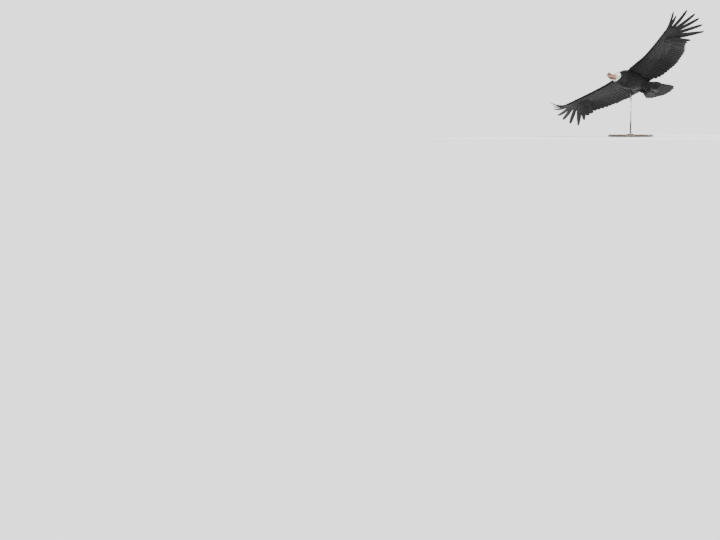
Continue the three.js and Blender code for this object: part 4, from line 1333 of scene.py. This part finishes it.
def remeshed(mesh, voxel, relax):
    """One closed skin over overlapping closed forms, as a new mesh in the same place."""
    holder = bpy.data.objects.new("remesh", mesh)
    bpy.context.scene.collection.objects.link(holder)
    modifier = holder.modifiers.new("Skin", "REMESH")
    modifier.mode = "VOXEL"
    modifier.voxel_size = voxel
    soft = holder.modifiers.new("Relax", "SMOOTH")
    soft.factor = 0.5
    soft.iterations = relax
    return evaluated_mesh(holder)


def dense(rows, count):
    """The same sections, drawn through smooth curves at more places."""
    curves = [column(rows, k) for k in range(1, len(rows[0]))]
    return [[p, *(float(c(p)) for c in curves)] for p in np.linspace(rows[0][0], rows[-1][0], count)]


def tube(shape, path, radii, sides=16, count=40):
    """A round, tapering form along a path."""
    angle = circle(sides)
    shape.loft([limb_point(path, radii, t, angle)[0] for t in np.linspace(0, 1, count)])


def body_flesh(settings):
    """Torso, wings, tail root and thighs as overlapping closed forms, drawn in by the coat's depth."""
    shape = Shape()
    inset, angle = settings.coat_depth, circle(64)
    shape.loft([torso_point(y, angle, inset) for y in np.linspace(-0.196, 0.328, 60)])
    share = (1 - np.cos(np.linspace(0, math.pi, 21))) / 2
    for flip in (facing(-1), facing(1)):
        rings = []
        for x in np.linspace(0.06, HAND_TIP_X - 0.004, 90):
            upper, lower = (flesh_point(np.full(len(share), x), share, face, 0.0028) for face in (1, -1))
            rings.append(np.concatenate([upper, lower[::-1][1:-1]]) * flip)
        shape.loft(rings)
        turn = circle(24)
        shape.loft([limb_point(THIGH, THIGH_RADII, t, turn, 0.004)[0] * flip for t in np.linspace(0, 1, 24)])
    share = np.linspace(-1, 1, 33)
    fullness = (1 - 0.3 * share ** 2) * np.sqrt(np.clip(1 - share ** 8, 0.02, 1))
    rings = []
    for radius in np.linspace(0.03, TAIL_ROOT, 20):
        lift = (tail_thick(radius) - 0.003) * fullness
        upper, lower = (tail_point(share * TAIL_HALF_SPREAD * 1.08, radius, up) for up in (lift, -lift))
        rings.append(np.concatenate([upper, lower[::-1]]))
    shape.loft(rings)
    return shape


# Folds of the head's skin, as a path of [x, forward, up] and the radii along it
FOLDS = [
    ([[0.027, -0.001, 0.017], [0.0275, 0.013, 0.022], [0.021, 0.029, 0.017]],
     [0.0015, 0.0036, 0.0040, 0.0015]),
    ([[0.027, -0.003, 0.007], [0.033, -0.019, -0.007], [0.027, -0.043, -0.025]],
     [0.0015, 0.0045, 0.0050, 0.0040, 0.0015]),
]
DEWLAP = ([[0.0, 0.034, -0.017], [0.0, 0.018, -0.029], [0.0, -0.006, -0.038], [0.0, -0.038, -0.037]],
          [0.0025, 0.0070, 0.0100, 0.0110, 0.0090, 0.0030])
LID = {"past": 9.0, "lift": 0.0030, "thick": 0.0020}


def eye_axes(side):
    """Middle of an eye, the way it looks, and the directions ahead of and above it."""
    centre = head_point(side * EYE["side"], EYE["forward"], EYE["up"])
    out = unit([side, -0.30, 0.10])
    ahead = unit(np.cross(np.cross(out, [0, -1.0, -0.25]), out))
    above = np.cross(out, ahead)
    return centre, out, ahead, above if above[2] > 0 else -above


def opening_degrees(rise, flat):
    """Half angle of the opening between the lids, narrower above and below."""
    return 46 - 13 * (rise / flat) ** 2 - 6 * np.maximum(rise, 0) / flat


def lid_ring(shape, side):
    """The rounded rim of an eye's lids."""
    centre, out, ahead, above = eye_axes(side)
    turn = circle(12)[:, None]
    rings = []
    for a in np.linspace(0, math.tau, 73):
        away = ahead * math.cos(a) + above * math.sin(a)
        polar = math.radians(opening_degrees(math.sin(a), 1.0) + LID["past"])
        place = out * math.cos(polar) + away * math.sin(polar)
        slide = away * math.cos(polar) - out * math.sin(polar)
        middle = centre + place * (EYE["radius"] + LID["lift"])
        thick = LID["thick"] * (1 + 0.35 * max(math.sin(a), 0))
        rings.append(middle + thick * (place * np.cos(turn) + slide * np.sin(turn)))
    shape.loft(rings, capped=False)


def head_flesh():
    """Skull, comb, folds, lids and neck as overlapping closed forms."""
    shape = Shape()
    for side in (-1, 1):
        lid_ring(shape, side)

    def oval(sections, sides, ripple, lobe):
        """Skins sections of [forward, half width, top, bottom]; two waves swell their sides and crest."""
        c, s = np.cos(circle(sides)), np.sin(circle(sides))
        rings = []
        for forward, half, top, bottom in dense(sections, 60):
            level, rise = (top + bottom) / 2, (top - bottom) / 2
            crest = np.where(s > 0, lobe(forward), 1.0)
            rings.append(head_point(half * ripple(forward) * c, forward, level + rise * s * crest))
        shape.loft(rings)

    oval(SKULL, 64, lambda f: 1.0, lambda f: 1.0)
    oval(COMB[::-1], 32, lambda f: 1 + 0.08 * math.sin(f * 300 + 0.6),
         lambda f: 1 + 0.05 * math.sin(f * 410) + 0.03 * math.sin(f * 950 + 2))
    for side in (-1, 1):
        for path, radii in FOLDS:
            tube(shape, [head_point(side * x, f, z) for x, f, z in path], radii)
    tube(shape, [head_point(*place) for place in DEWLAP[0]], DEWLAP[1])
    radii = through(NECK_RADIUS)(np.linspace(0, 1, 9))
    tube(shape, [[0.0, y, z] for y, z in NECK_PATH], radii, sides=64, count=60)
    return shape


def waves(points, scale, seed, octaves):
    """Smooth, repeatable ripples through space, from sums of slanted waves."""
    rng = np.random.default_rng(seed)
    total = np.zeros(len(points))
    for k in range(octaves):
        for _ in range(5):
            direction = unit(rng.normal(size=3)) * scale * 1.9 ** k
            total += np.sin(points @ direction + rng.random() * math.tau) / 1.9 ** k
    return total / 5


def relaxed(mesh, points, chosen, steps):
    """Eases the chosen points towards the middle of their neighbours."""
    edges = fetch(mesh.edges, "vertices", np.int32, 2)
    first, second = edges.T
    count = np.bincount(edges.ravel(), minlength=len(points))[:, None]
    for _ in range(steps):
        total = np.zeros_like(points)
        np.add.at(total, first, points[second])
        np.add.at(total, second, points[first])
        points = np.where(chosen[:, None], lerp(points, total / count, 0.6), points)
    return points


def opened_eye(points, side):
    """Sinks the points in front of an eye behind the ball, and lifts those round it into lids."""
    centre, out, ahead, above = eye_axes(side)
    ball = EYE["radius"]
    away = points - centre
    distance = np.linalg.norm(away, axis=1)
    direction = away / np.maximum(distance, 1e-9)[:, None]
    angle = np.degrees(np.arccos(np.clip(direction @ out, -1, 1)))
    rise = direction @ above
    flat = np.sqrt((direction @ ahead) ** 2 + rise ** 2) + 1e-9
    past = angle - opening_degrees(rise, flat)
    near = (distance < 0.016) & (angle < 90)
    sunk = np.minimum(distance, lerp(ball - 0.0030, ball + 0.0005, smooth(-1.0, 2.5, past)))
    lifted = np.maximum(distance, ball + 0.0004)
    target = np.where(past < 2.5, sunk, np.where(past < 24, lifted, distance))
    return np.where(near[:, None], centre + direction * target[:, None], points)


# Each ear opening, forward and up from the middle of the head, and the level of the mouth's line
EAR = (-0.020, 0.002)
MOUTH_LEVEL = -0.0045


def head_surface(settings):
    """Remeshed head and neck with eye openings, ears, mouth line and wrinkles, and how red each point is,
    lowered by painted shade in the wrinkles, mouth line, ear openings and under the head.
    """
    mesh = remeshed(head_flesh().mesh("head_flesh"), settings.head_detail, 3)
    points = (fetch(mesh.vertices, "co") - SHOULDERS) @ BANKED
    normals = fetch(mesh.vertex_normals, "vector") @ BANKED
    local = points - HEAD_CENTRE
    aside, forward, up = np.abs(local[:, 0]), -local[:, 1], local[:, 2]
    crease = np.abs(waves(local * np.array([0.6, 1.6, 0.8]), 360.0, 9, 3))
    face = 1 - smooth(0.030, 0.050, forward)
    move = face * (0.00035 * waves(local, 420.0, 4, 3) - 0.0006 * bell(crease, 0.16))
    folds = np.sin(forward * 760 + up * 120 + 3.0 * waves(local, 60.0, 12, 2))
    uneven = 0.6 + 0.8 * waves(local, 110.0, 14, 2)
    bare_neck = smooth(-0.030, -0.070, forward)
    move += bare_neck * (0.0008 * folds * uneven + 0.0004 * waves(local, 700.0, 15, 2))
    on_comb = smooth(0.028, 0.036, up) * (1 - smooth(0.044, 0.050, forward))
    pits = bell(waves(local, 240.0, 22, 2), 0.12)
    move += on_comb * (0.0008 * waves(local, 330.0, 21, 3) - 0.0007 * pits)
    ear = np.sqrt((forward - EAR[0]) ** 2 + ((up - EAR[1]) * 1.15) ** 2)
    at_side = aside > 0.020
    move += at_side * (-0.0062 * bell(ear, 0.0034, 4) + 0.0013 * bell(ear - 0.0052, 0.0013))
    line = up - MOUTH_LEVEL + 2.5 * np.maximum(0.040 - forward, 0) ** 2
    gape = smooth(0.004, 0.012, forward) * smooth(0.002, 0.006, aside) * (1 - smooth(0.052, 0.056, forward))
    mouth = bell(line, 0.0012) * gape
    move += -0.0030 * mouth + 0.0008 * bell(np.abs(line) - 0.0026, 0.0013) * gape
    points = points + normals * move[:, None]
    for side in (-1, 1):
        points = opened_eye(points, side)
    eye_away = np.sqrt((forward - EYE["forward"]) ** 2 + (up - EYE["up"]) ** 2)
    flush = 0.62 + 0.30 * smooth(-0.02, -0.06, forward) - 0.85 * on_comb - 0.25 * bell(eye_away, 0.016)
    # Painted shade: the mouth's line and the face's creases are darkened.
    flush += -0.30 * smooth(0.028, 0.046, forward) - 0.5 * mouth - 0.35 * bell(crease, 0.10) * face
    # Darker under the head, partly the throat's own darker skin and partly painted shade; painted shade in
    # the ear openings.
    flush -= 0.80 * smooth(-0.016, -0.032, up) + 0.5 * at_side * bell(ear, 0.004, 4)
    band = 0.007 - 6.0 * (forward - 0.015) ** 2
    flush -= 0.60 * bell(up - band, 0.0055) * smooth(-0.030, -0.015, forward)
    near_eye = np.min([np.linalg.norm(points - eye_axes(side)[0], axis=1) for side in (-1, 1)], axis=0)
    points = relaxed(mesh, points, (near_eye > 0.0095) & (near_eye < 0.022), 2)
    mesh.vertices.foreach_set("co", to_world(points).astype(np.float32).ravel())
    return mesh, np.clip(flush, 0, 1)


def joined(name, parts):
    """Joins meshes into one, keeping their points, smooth faces and the given flush values."""
    points, triangles, flush, regions = [], [], [], []
    offset = 0
    for mesh, values, region in parts:
        mesh.calc_loop_triangles()
        corners, found = fetch(mesh.loop_triangles, "vertices", np.int32), fetch(mesh.vertices, "co")
        points.append(found)
        triangles.append(corners + offset)
        regions.append(np.full(len(corners), region, np.int32))
        flush.append(np.broadcast_to(values, (len(found),)))
        offset += len(found)
        bpy.data.meshes.remove(mesh)
    made = smooth_mesh(name, np.concatenate(points), np.concatenate(triangles))
    made.polygons.foreach_set("material_index", np.concatenate(regions))
    store(made, "flush", np.concatenate(flush))
    made.update()
    return made


# Radii at even steps from the ankle to the toes
SHANK_RADII = [0.0090, 0.0080, 0.0084, 0.0100]


def scutes(t, count, out):
    """Height and joint shade of plates across the top of a leg or toe."""
    place = (t * count) % 1.0
    top = smooth(-0.6, 0.1, out[:, 2])
    joint = bell(min(place, 1 - place), 0.09)
    return 0.0007 * top * (1 - joint) * (0.6 + 0.4 * place), joint * top


def foot_forms(side):
    """Shank and toes with rounded scutes, and the claws, as two shapes."""
    skin, claws = Shape(), Shape()
    flip, turn = facing(side), circle(28)

    def scaly(path, radii, plates, count, round_from):
        rings, joints = [], []
        for t in np.linspace(0, 1, count):
            ring, out, _ = limb_point(path, radii, t, turn)
            centre = ring.mean(axis=0)
            close = math.sqrt(max(1 - (max(t - round_from, 0) / (1 - round_from)) ** 2, 0.0004))
            lift, joint = scutes(t, plates, out)
            pad = 1 + 0.08 * math.sin(t * 3 * math.tau) * np.clip(-out[:, 2], 0, 1)
            place = centre + (ring - centre) * (pad * close)[:, None] + out * (lift * close)[:, None]
            rings.append(place * flip)
            joints.append(joint)
        skin.loft(rings, joint=joints)

    toe_base = TOE_ROOT + np.array([0, 0.008, 0])
    scaly([ANKLE - np.array([0, 0.02, 0]), (ANKLE + TOE_ROOT) / 2, toe_base], SHANK_RADII, 16, 170, 0.93)
    for reach, radius in TOES:
        end = TOE_ROOT + np.array(reach)
        knuckle = (TOE_ROOT + end) / 2 + np.array([0, 0, 0.005])
        scaly([TOE_ROOT, knuckle, end], [radius * share for share in (1.0, 1.02, 0.92, 0.80)], 12, 120, 0.90)
        away = unit(end - knuckle)
        tip = end + np.array([0, 0.015, -0.009])
        path = [end - away * 0.007, end + away * 0.010 + np.array([0, 0, 0.0008]), tip]
        radii = [radius * 0.70, radius * 0.52, 0.0006]
        claws.loft([limb_point(path, radii, t, turn)[0] * flip for t in np.linspace(0, 1, 28)], dark=0.9)
    return skin, claws


# Middle of each nostril, forward and up, and its half lengths; and where the dark base of each
# mandible starts to end, forward from the middle of the head
NOSTRIL = (0.0545, 0.0032, 0.0032, 0.0016)
DARK_TO = {True: 0.055, False: 0.050}


def bill_shape(sections, upper):
    """A mandible drawn through its sections, with a ridge, cutting edges and a dark base."""
    shape = Shape()
    curves = [evenly(values) for values in np.array(sections, float).T]
    sides = 48
    c, s = np.cos(circle(sides)), np.sin(circle(sides))
    rings, darks = [], []
    for t in np.linspace(0, 1, 90):
        forward, up, half_wide, half_high = (float(curve(t)) for curve in curves)
        run, climb = (curve(min(t + 0.02, 1)) - curve(max(t - 0.02, 0)) for curve in curves[:2])
        slope = math.atan2(climb, run)
        across, rise = half_wide * c, half_high * s
        if upper:
            across = half_wide * np.sign(c) * np.abs(c) ** 0.92 * (1 + 0.06 * bell(s + 0.55, 0.25))
            rise = half_high * np.where(s > 0, s, s * 0.96)
            away = ((forward - NOSTRIL[0]) / NOSTRIL[2]) ** 2 + ((rise - NOSTRIL[1]) / NOSTRIL[3]) ** 2
            across = across - 0.0040 * np.sign(c) * bell(away, 1.0) * (np.abs(c) > 0.2)
        rings.append(head_point(across, forward - rise * math.sin(slope), up + rise * math.cos(slope)))
        darks.append(np.full(sides, 1 - smooth(DARK_TO[upper], DARK_TO[upper] + 0.011, forward)))
    shape.loft(rings, dark=darks)
    return shape


def eye_shape(side):
    """An eyeball with a raised clear front; from_pupil holds degrees from the middle of its look."""
    shape = Shape()
    centre, out, _, _ = eye_axes(side)
    first = unit(np.cross(out, [0, 0, 1.0]))
    second = np.cross(out, first)
    turn = circle(48)[:, None]
    rings, away = [], []
    for polar in np.linspace(0.012, math.pi - 0.012, 48):
        bulge = 1 + 0.055 * (1 - smooth(0.35, 0.75, polar))
        around = first * np.cos(turn) + second * np.sin(turn)
        ring = out * math.cos(polar) + around * math.sin(polar)
        rings.append(centre + ring * EYE["radius"] * bulge)
        away.append(np.full(len(turn), math.degrees(polar)))
    shape.loft(rings, from_pupil=away)
    return shape


def lathe(name, profile, centre=(0.0, 0.0), segments=128):
    """A closed turned form from [radius, height] pairs, standing at a place on the floor."""
    shape = Shape()
    c, s = np.cos(circle(segments)), np.sin(circle(segments))
    x, y = centre
    shape.loft([np.stack([x + r * c, y + r * s, np.full(segments, z)], -1) for r, z in profile])
    return shape.mesh(name, place=np.asarray)


def rounded_profile(radius, low, high, edge):
    """Outline of a disc with a rounded top edge and a slight chamfer beneath."""
    under, steps = 0.002, 8
    profile = [[radius - under, low], [radius, low + under]]
    for k in range(steps + 1):
        angle = k / steps * math.pi / 2
        profile.append([radius - edge + edge * math.cos(angle), high - edge + edge * math.sin(angle)])
    return profile + [[radius * 0.5, high], [radius * 0.02, high]]


# What settings for lengths and colours share
LENGTH = {"subtype": "DISTANCE", "unit": "LENGTH"}
TINT = {"size": 4, "subtype": "COLOR", "min": 0.0, "max": 1.0}


class CondorPlumage(bpy.types.PropertyGroup):
    secondaries: IntProperty(
        name="Secondaries", description="Secondary feathers of each wing", default=21, min=8)
    greater_coverts: IntProperty(
        name="Greater coverts", description="Greater coverts of each wing face", default=21)
    tail_feathers: IntProperty(
        name="Tail feathers", description="Feathers in the tail fan", default=12, min=4)
    covert_spacing: FloatProperty(
        name="Covert spacing", description="Distance between rows of small wing coverts", default=0.0110,
        **LENGTH)
    body_spacing: FloatProperty(
        name="Body spacing", description="Distance between feathers of the body", default=0.0100, **LENGTH)
    down_spacing: FloatProperty(
        name="Down spacing", description="Distance between tufts of down on the ruff", default=0.0030,
        **LENGTH)
    pale_panel: FloatProperty(
        name="Pale panel", description="Strength of the white panel on the upper wing", default=1.0,
        min=0.0, max=1.0, subtype="FACTOR")
    seed: IntProperty(
        name="Seed", description="Seed of the small differences between feathers", default=4)
    black: FloatVectorProperty(
        name="Black", description="Colour of the dark feathers", default=(0.0045, 0.0045, 0.0055, 1.0),
        **TINT)
    white: FloatVectorProperty(
        name="White", description="Colour of the wing panel", default=(0.72, 0.71, 0.68, 1.0), **TINT)
    down: FloatVectorProperty(
        name="Down", description="Colour of the ruff", default=(0.99, 0.985, 0.965, 1.0), **TINT)


class CondorSkin(bpy.types.PropertyGroup):
    coat_depth: FloatProperty(
        name="Coat depth", description="How far the skin lies inside the plumage", default=0.008, **LENGTH)
    head_detail: FloatProperty(
        name="Head detail", description="Size of the head's smallest faces", default=0.00108, **LENGTH)
    skin: FloatVectorProperty(
        name="Skin", description="Colour of the dark bare skin", default=(0.050, 0.034, 0.034, 1.0), **TINT)
    flush: FloatVectorProperty(
        name="Flush", description="Colour of the redder bare skin", default=(0.44, 0.20, 0.135, 1.0), **TINT)
    horn: FloatVectorProperty(
        name="Horn", description="Colour of the bill's tip", default=(0.66, 0.58, 0.43, 1.0), **TINT)
    legs: FloatVectorProperty(
        name="Legs", description="Colour of the feet", default=(0.016, 0.016, 0.017, 1.0), **TINT)
    iris: FloatVectorProperty(
        name="Iris", description="Colour of the iris", default=(0.10, 0.032, 0.012, 1.0), **TINT)


class CondorStand(bpy.types.PropertyGroup):
    base_radius: FloatProperty(
        name="Base radius", description="Radius of the round base", default=BASE_RADIUS, **LENGTH)
    rod_radius: FloatProperty(
        name="Rod radius", description="Radius of the rod that holds the bird", default=ROD_RADIUS, **LENGTH)
    wood: FloatVectorProperty(
        name="Wood", description="Colour of the base", default=(0.030, 0.021, 0.016, 1.0), **TINT)
    steel: FloatVectorProperty(
        name="Steel", description="Colour of the rod and flange", default=(0.55, 0.56, 0.58, 1.0), **TINT)


SIDES = ((1, "left"), (-1, "right"))


def plumage_finish(settings, size):
    """The material of small or long feathers."""
    count, depth = {"small": (80.0, 0.00003), "long": (320.0, 0.00005)}[size]
    return finish(plumage_material, "plumage_" + size, settings.black, settings.white, count, depth)


def feather_set(kind):
    """Unit feathers for a coat: rounded contour feathers or wisps of down."""
    if kind == "down":
        made = [wisp("down_" + str(k), 10, 0.9, 0.20, 40 + k) for k in range(6)]
    else:
        made = [
            small_feather("feather_rounded", ROUNDED, 0.030, 0.10, 0.02),
            small_feather("feather_square", SQUARE, 0.024, 0.08, -0.03),
            small_feather("feather_pointed", POINTED, 0.036, 0.12, 0.05),
        ]
    return template_collection("feathers_" + kind, made)


class CONDOR_OT_skin(bpy.types.Operator):
    """Lays one skin under the plumage, with the bare head and neck worked in detail"""
    bl_idname = "condor.skin"
    bl_label = "Skin, head and neck"

    def execute(self, context):
        skin = context.scene.condor_skin
        body = remeshed(body_flesh(skin).mesh("body_flesh"), 0.0065, 2)
        head, flush = head_surface(skin)
        mesh = joined("skin", [(body, 0.0, 1), (head, flush, 0)])
        bare = finish(skin_material, "bare_skin", skin.skin, skin.flush)
        placed("skin", mesh, [bare, plumage_finish(context.scene.condor_plumage, "small")],
               ["torso", "neck", "head", "comb", "thigh_left", "thigh_right"])
        return {"FINISHED"}


class CONDOR_OT_head_parts(bpy.types.Operator):
    """Adds the eyes and both mandibles"""
    bl_idname = "condor.head_parts"
    bl_label = "Eyes and bill"

    def execute(self, context):
        skin = context.scene.condor_skin
        horn = finish(horn_material, "horn", skin.horn, (0.035, 0.028, 0.024, 1.0))
        wet = finish(eye_material, "eye", skin.iris)
        for side, name in SIDES:
            node = "eye_" + name
            placed(node + "_ball", eye_shape(side).mesh(node), [wet], [node])
        for sections, name in ((UPPER_BILL, "upper"), (LOWER_BILL, "lower")):
            mesh = bill_shape(sections, name == "upper").mesh(name)
            placed("mandible_" + name, mesh, [horn], ["bill_" + name])
        return {"FINISHED"}


class CONDOR_OT_feet(bpy.types.Operator):
    """Adds the scaled feet and their claws"""
    bl_idname = "condor.feet"
    bl_label = "Feet"

    def execute(self, context):
        legs = context.scene.condor_skin.legs
        scales = finish(scale_material, "scales", legs, (0.050, 0.048, 0.046, 1.0))
        claw = finish(horn_material, "claw", (0.06, 0.05, 0.045, 1.0), (0.012, 0.011, 0.010, 1.0))
        for side, name in SIDES:
            flesh, claws = foot_forms(side)
            placed("foot_skin_" + name, flesh.mesh("foot_" + name), [scales], ["foot_" + name])
            placed("claws_" + name, claws.mesh("claws_" + name), [claw], ["foot_" + name])
        return {"FINISHED"}


class CONDOR_OT_flight_feathers(bpy.types.Operator):
    """Builds the primaries, secondaries and greater coverts of both wings, each web and shaft"""
    bl_idname = "condor.flight_feathers"
    bl_label = "Flight feathers"

    def execute(self, context):
        plumage = context.scene.condor_plumage
        looks = [plumage_finish(plumage, "long")]
        for side, name in SIDES:
            mesh = flight_feathers(side, plumage).mesh("flight_" + name)
            nodes = ["wing_" + name + "_arm", "wing_" + name + "_hand"]
            placed("flight_feathers_" + name, mesh, looks, nodes)
        return {"FINISHED"}


class CONDOR_OT_tail(bpy.types.Operator):
    """Builds the tail fan and the feathers over its base"""
    bl_idname = "condor.tail"
    bl_label = "Tail"

    def execute(self, context):
        plumage = context.scene.condor_plumage
        look = plumage_finish(plumage, "long")
        placed("tail_fan", tail_feathers(plumage).mesh("tail_fan"), [look], ["tail"])
        feathers = feather_set("tail")
        coat("tail_coverts", rump_roots(plumage), feathers, look, seed=5)
        drop_collection(feathers)
        return {"FINISHED"}


class CONDOR_OT_coats(bpy.types.Operator):
    """Grows the small feathers of wings, body and thighs"""
    bl_idname = "condor.coats"
    bl_label = "Small feathers"

    def execute(self, context):
        plumage = context.scene.condor_plumage
        feathers = feather_set("body")
        look = plumage_finish(plumage, "small")
        for side, name in SIDES:
            coat("wing_coverts_" + name, wing_roots(side, plumage), feathers, look,
                 ruffle=0.05, seed=11 + side)
            coat("thigh_feathers_" + name, thigh_roots(side, plumage), feathers, look,
                 ruffle=0.14, seed=21 + side)
        coat("body_feathers", body_roots(plumage), feathers, look, seed=31)
        drop_collection(feathers)
        return {"FINISHED"}


class CONDOR_OT_ruff(bpy.types.Operator):
    """Grows the white down of the neck ruff"""
    bl_idname = "condor.ruff"
    bl_label = "Ruff"

    def execute(self, context):
        plumage = context.scene.condor_plumage
        feathers = feather_set("down")
        look = finish(down_material, "down", plumage.down, (0.90, 0.89, 0.86, 1.0))
        placed("ruff_bed", ruff_bed().mesh("ruff_bed"), [look])
        for layer in range(RUFF_LAYERS):
            coat("ruff_down_" + "abc"[layer], ruff_roots(plumage, layer), feathers, look,
                 ruffle=0.35, spread=0.2, seed=41 + layer, replaces=["ruff"])
        drop_collection(feathers)
        return {"FINISHED"}


class CONDOR_OT_stand(bpy.types.Operator):
    """Turns the base, flange and rod of the display stand"""
    bl_idname = "condor.stand"
    bl_label = "Stand"

    def execute(self, context):
        stand = context.scene.condor_stand
        wood = finish(wood_material, "wood", stand.wood, (0.075, 0.048, 0.032, 1.0))
        steel = finish(steel_material, "steel", stand.steel)
        low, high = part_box("stand_base")
        base = lathe("base", rounded_profile(stand.base_radius, low[2], high[2], 0.007))
        placed("display_base", base, [wood], ["stand_base"])
        low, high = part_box("stand_flange")
        middle = ((low[0] + high[0]) / 2, (low[1] + high[1]) / 2)
        flange = lathe("flange", rounded_profile((high[0] - low[0]) / 2, low[2], high[2], 0.0025), middle)
        placed("display_flange", flange, [steel], ["stand_flange"])
        low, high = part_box("stand_rod")
        profile = [[stand.rod_radius, z] for z in (low[2], lerp(low[2], high[2], 0.5), high[2] - 0.001)]
        placed("display_rod", lathe("rod", profile, middle, 48), [steel], ["stand_rod"])
        return {"FINISHED"}


def staged(name, data):
    """An object of the stage, linked and not part of the model."""
    made = bpy.data.objects.new(name, data)
    bpy.context.scene.collection.objects.link(made)
    return made


LIGHTS_AIM = (0.0, 0.0, 0.9)


def studio_world():
    """Even light from all round, in front of a white backdrop that only the camera sees."""
    world = bpy.data.worlds.new("studio")
    world.use_nodes = True
    t = Nodes(world.node_tree)
    soft = t.tree.nodes["Background"]
    t.feed(soft.inputs["Color"], (0.97, 0.98, 1.0, 1.0))
    t.feed(soft.inputs["Strength"], 1.0)
    backdrop = t.add("ShaderNodeBackground", {"Color": (1.0, 1.0, 1.0, 1.0), "Strength": 2.0})
    seen = t.add("ShaderNodeLightPath").outputs["Is Camera Ray"]
    choose = t.add("ShaderNodeMixShader", {0: seen, 1: soft, 2: backdrop})
    t.feed(t.tree.nodes["World Output"].inputs["Surface"], choose)
    return world


def area_light(name, place, size, power, colour=(1.0, 1.0, 1.0)):
    """A round soft light that points at the bird."""
    light = bpy.data.lights.new(name, "AREA")
    light.shape = "DISK"
    light.size, light.energy, light.color = size, power, colour
    made = staged(name, light)
    made.location = place
    made.rotation_euler = (Vector(LIGHTS_AIM) - Vector(place)).to_track_quat("-Z", "Y").to_euler()


class CONDOR_OT_stage(bpy.types.Operator):
    """Sets the pale floor, the soft light and the camera"""
    bl_idname = "condor.stage"
    bl_label = "Stage"

    def execute(self, context):
        turn = circle(96)
        edge = np.stack([np.cos(turn), np.sin(turn), np.zeros(len(turn))], -1) * FLOOR_FADE[1]
        mesh = bpy.data.meshes.new("floor")
        mesh.from_pydata(edge.tolist(), [], [list(range(len(turn)))])
        mesh.materials.append(finish(floor_material, "studio_floor", (0.90, 0.90, 0.90, 1.0), *FLOOR_FADE))
        staged("studio_floor", mesh)
        context.scene.world = studio_world()
        area_light("key", (3.5, -6.0, 5.0), 2.6, 900.0, (1.0, 0.97, 0.93))
        area_light("fill", (6.0, -3.5, 1.0), 3.0, 420.0, (0.96, 0.98, 1.0))
        area_light("rim", (-2.0, 5.0, 4.0), 2.0, 500.0)
        lens = bpy.data.cameras.new("camera")
        lens.sensor_width = SENSOR_WIDTH
        lens.lens = FOCAL_PIXELS / PICTURE_WIDTH * SENSOR_WIDTH
        lens.clip_end = 400.0
        camera = staged("camera", lens)
        camera.location = CAMERA_PLACE
        camera.rotation_euler = (math.pi / 2 + CAMERA_DIP, 0.0, CAMERA_TURN)
        context.scene.camera = camera
        return {"FINISHED"}


STEPS = (
    CONDOR_OT_skin, CONDOR_OT_head_parts, CONDOR_OT_feet, CONDOR_OT_flight_feathers, CONDOR_OT_tail,
    CONDOR_OT_coats, CONDOR_OT_ruff, CONDOR_OT_stand, CONDOR_OT_stage,
)


SETTINGS = {"condor_plumage": CondorPlumage, "condor_skin": CondorSkin, "condor_stand": CondorStand}


class CONDOR_PT_model(bpy.types.Panel):
    """Settings and steps of the condor model"""
    bl_idname = "CONDOR_PT_model"
    bl_label = "Condor display model"
    bl_space_type = "VIEW_3D"
    bl_region_type = "UI"
    bl_category = "Condor"

    def draw(self, context):
        for name in SETTINGS:
            settings = getattr(context.scene, name)
            box = self.layout.box()
            for key in settings.bl_rna.properties.keys():
                if key not in ("rna_type", "name"):
                    box.prop(settings, key)
        for step in STEPS:
            self.layout.operator(step.bl_idname)


CLASSES = (*SETTINGS.values(), *STEPS, CONDOR_PT_model)


def register():
    for kind in CLASSES:
        bpy.utils.register_class(kind)
    for name, kind in SETTINGS.items():
        setattr(bpy.types.Scene, name, PointerProperty(type=kind))


def unregister():
    for name in SETTINGS:
        delattr(bpy.types.Scene, name)
    for kind in reversed(CLASSES):
        bpy.utils.unregister_class(kind)


def main():
    register()
    bpy.ops.condor.skin()
    bpy.ops.condor.head_parts()
    bpy.ops.condor.feet()
    bpy.ops.condor.flight_feathers()
    bpy.ops.condor.tail()
    bpy.ops.condor.coats()
    bpy.ops.condor.ruff()
    bpy.ops.condor.stand()
    bpy.ops.condor.stage()


if __name__ == "__main__":
    main()
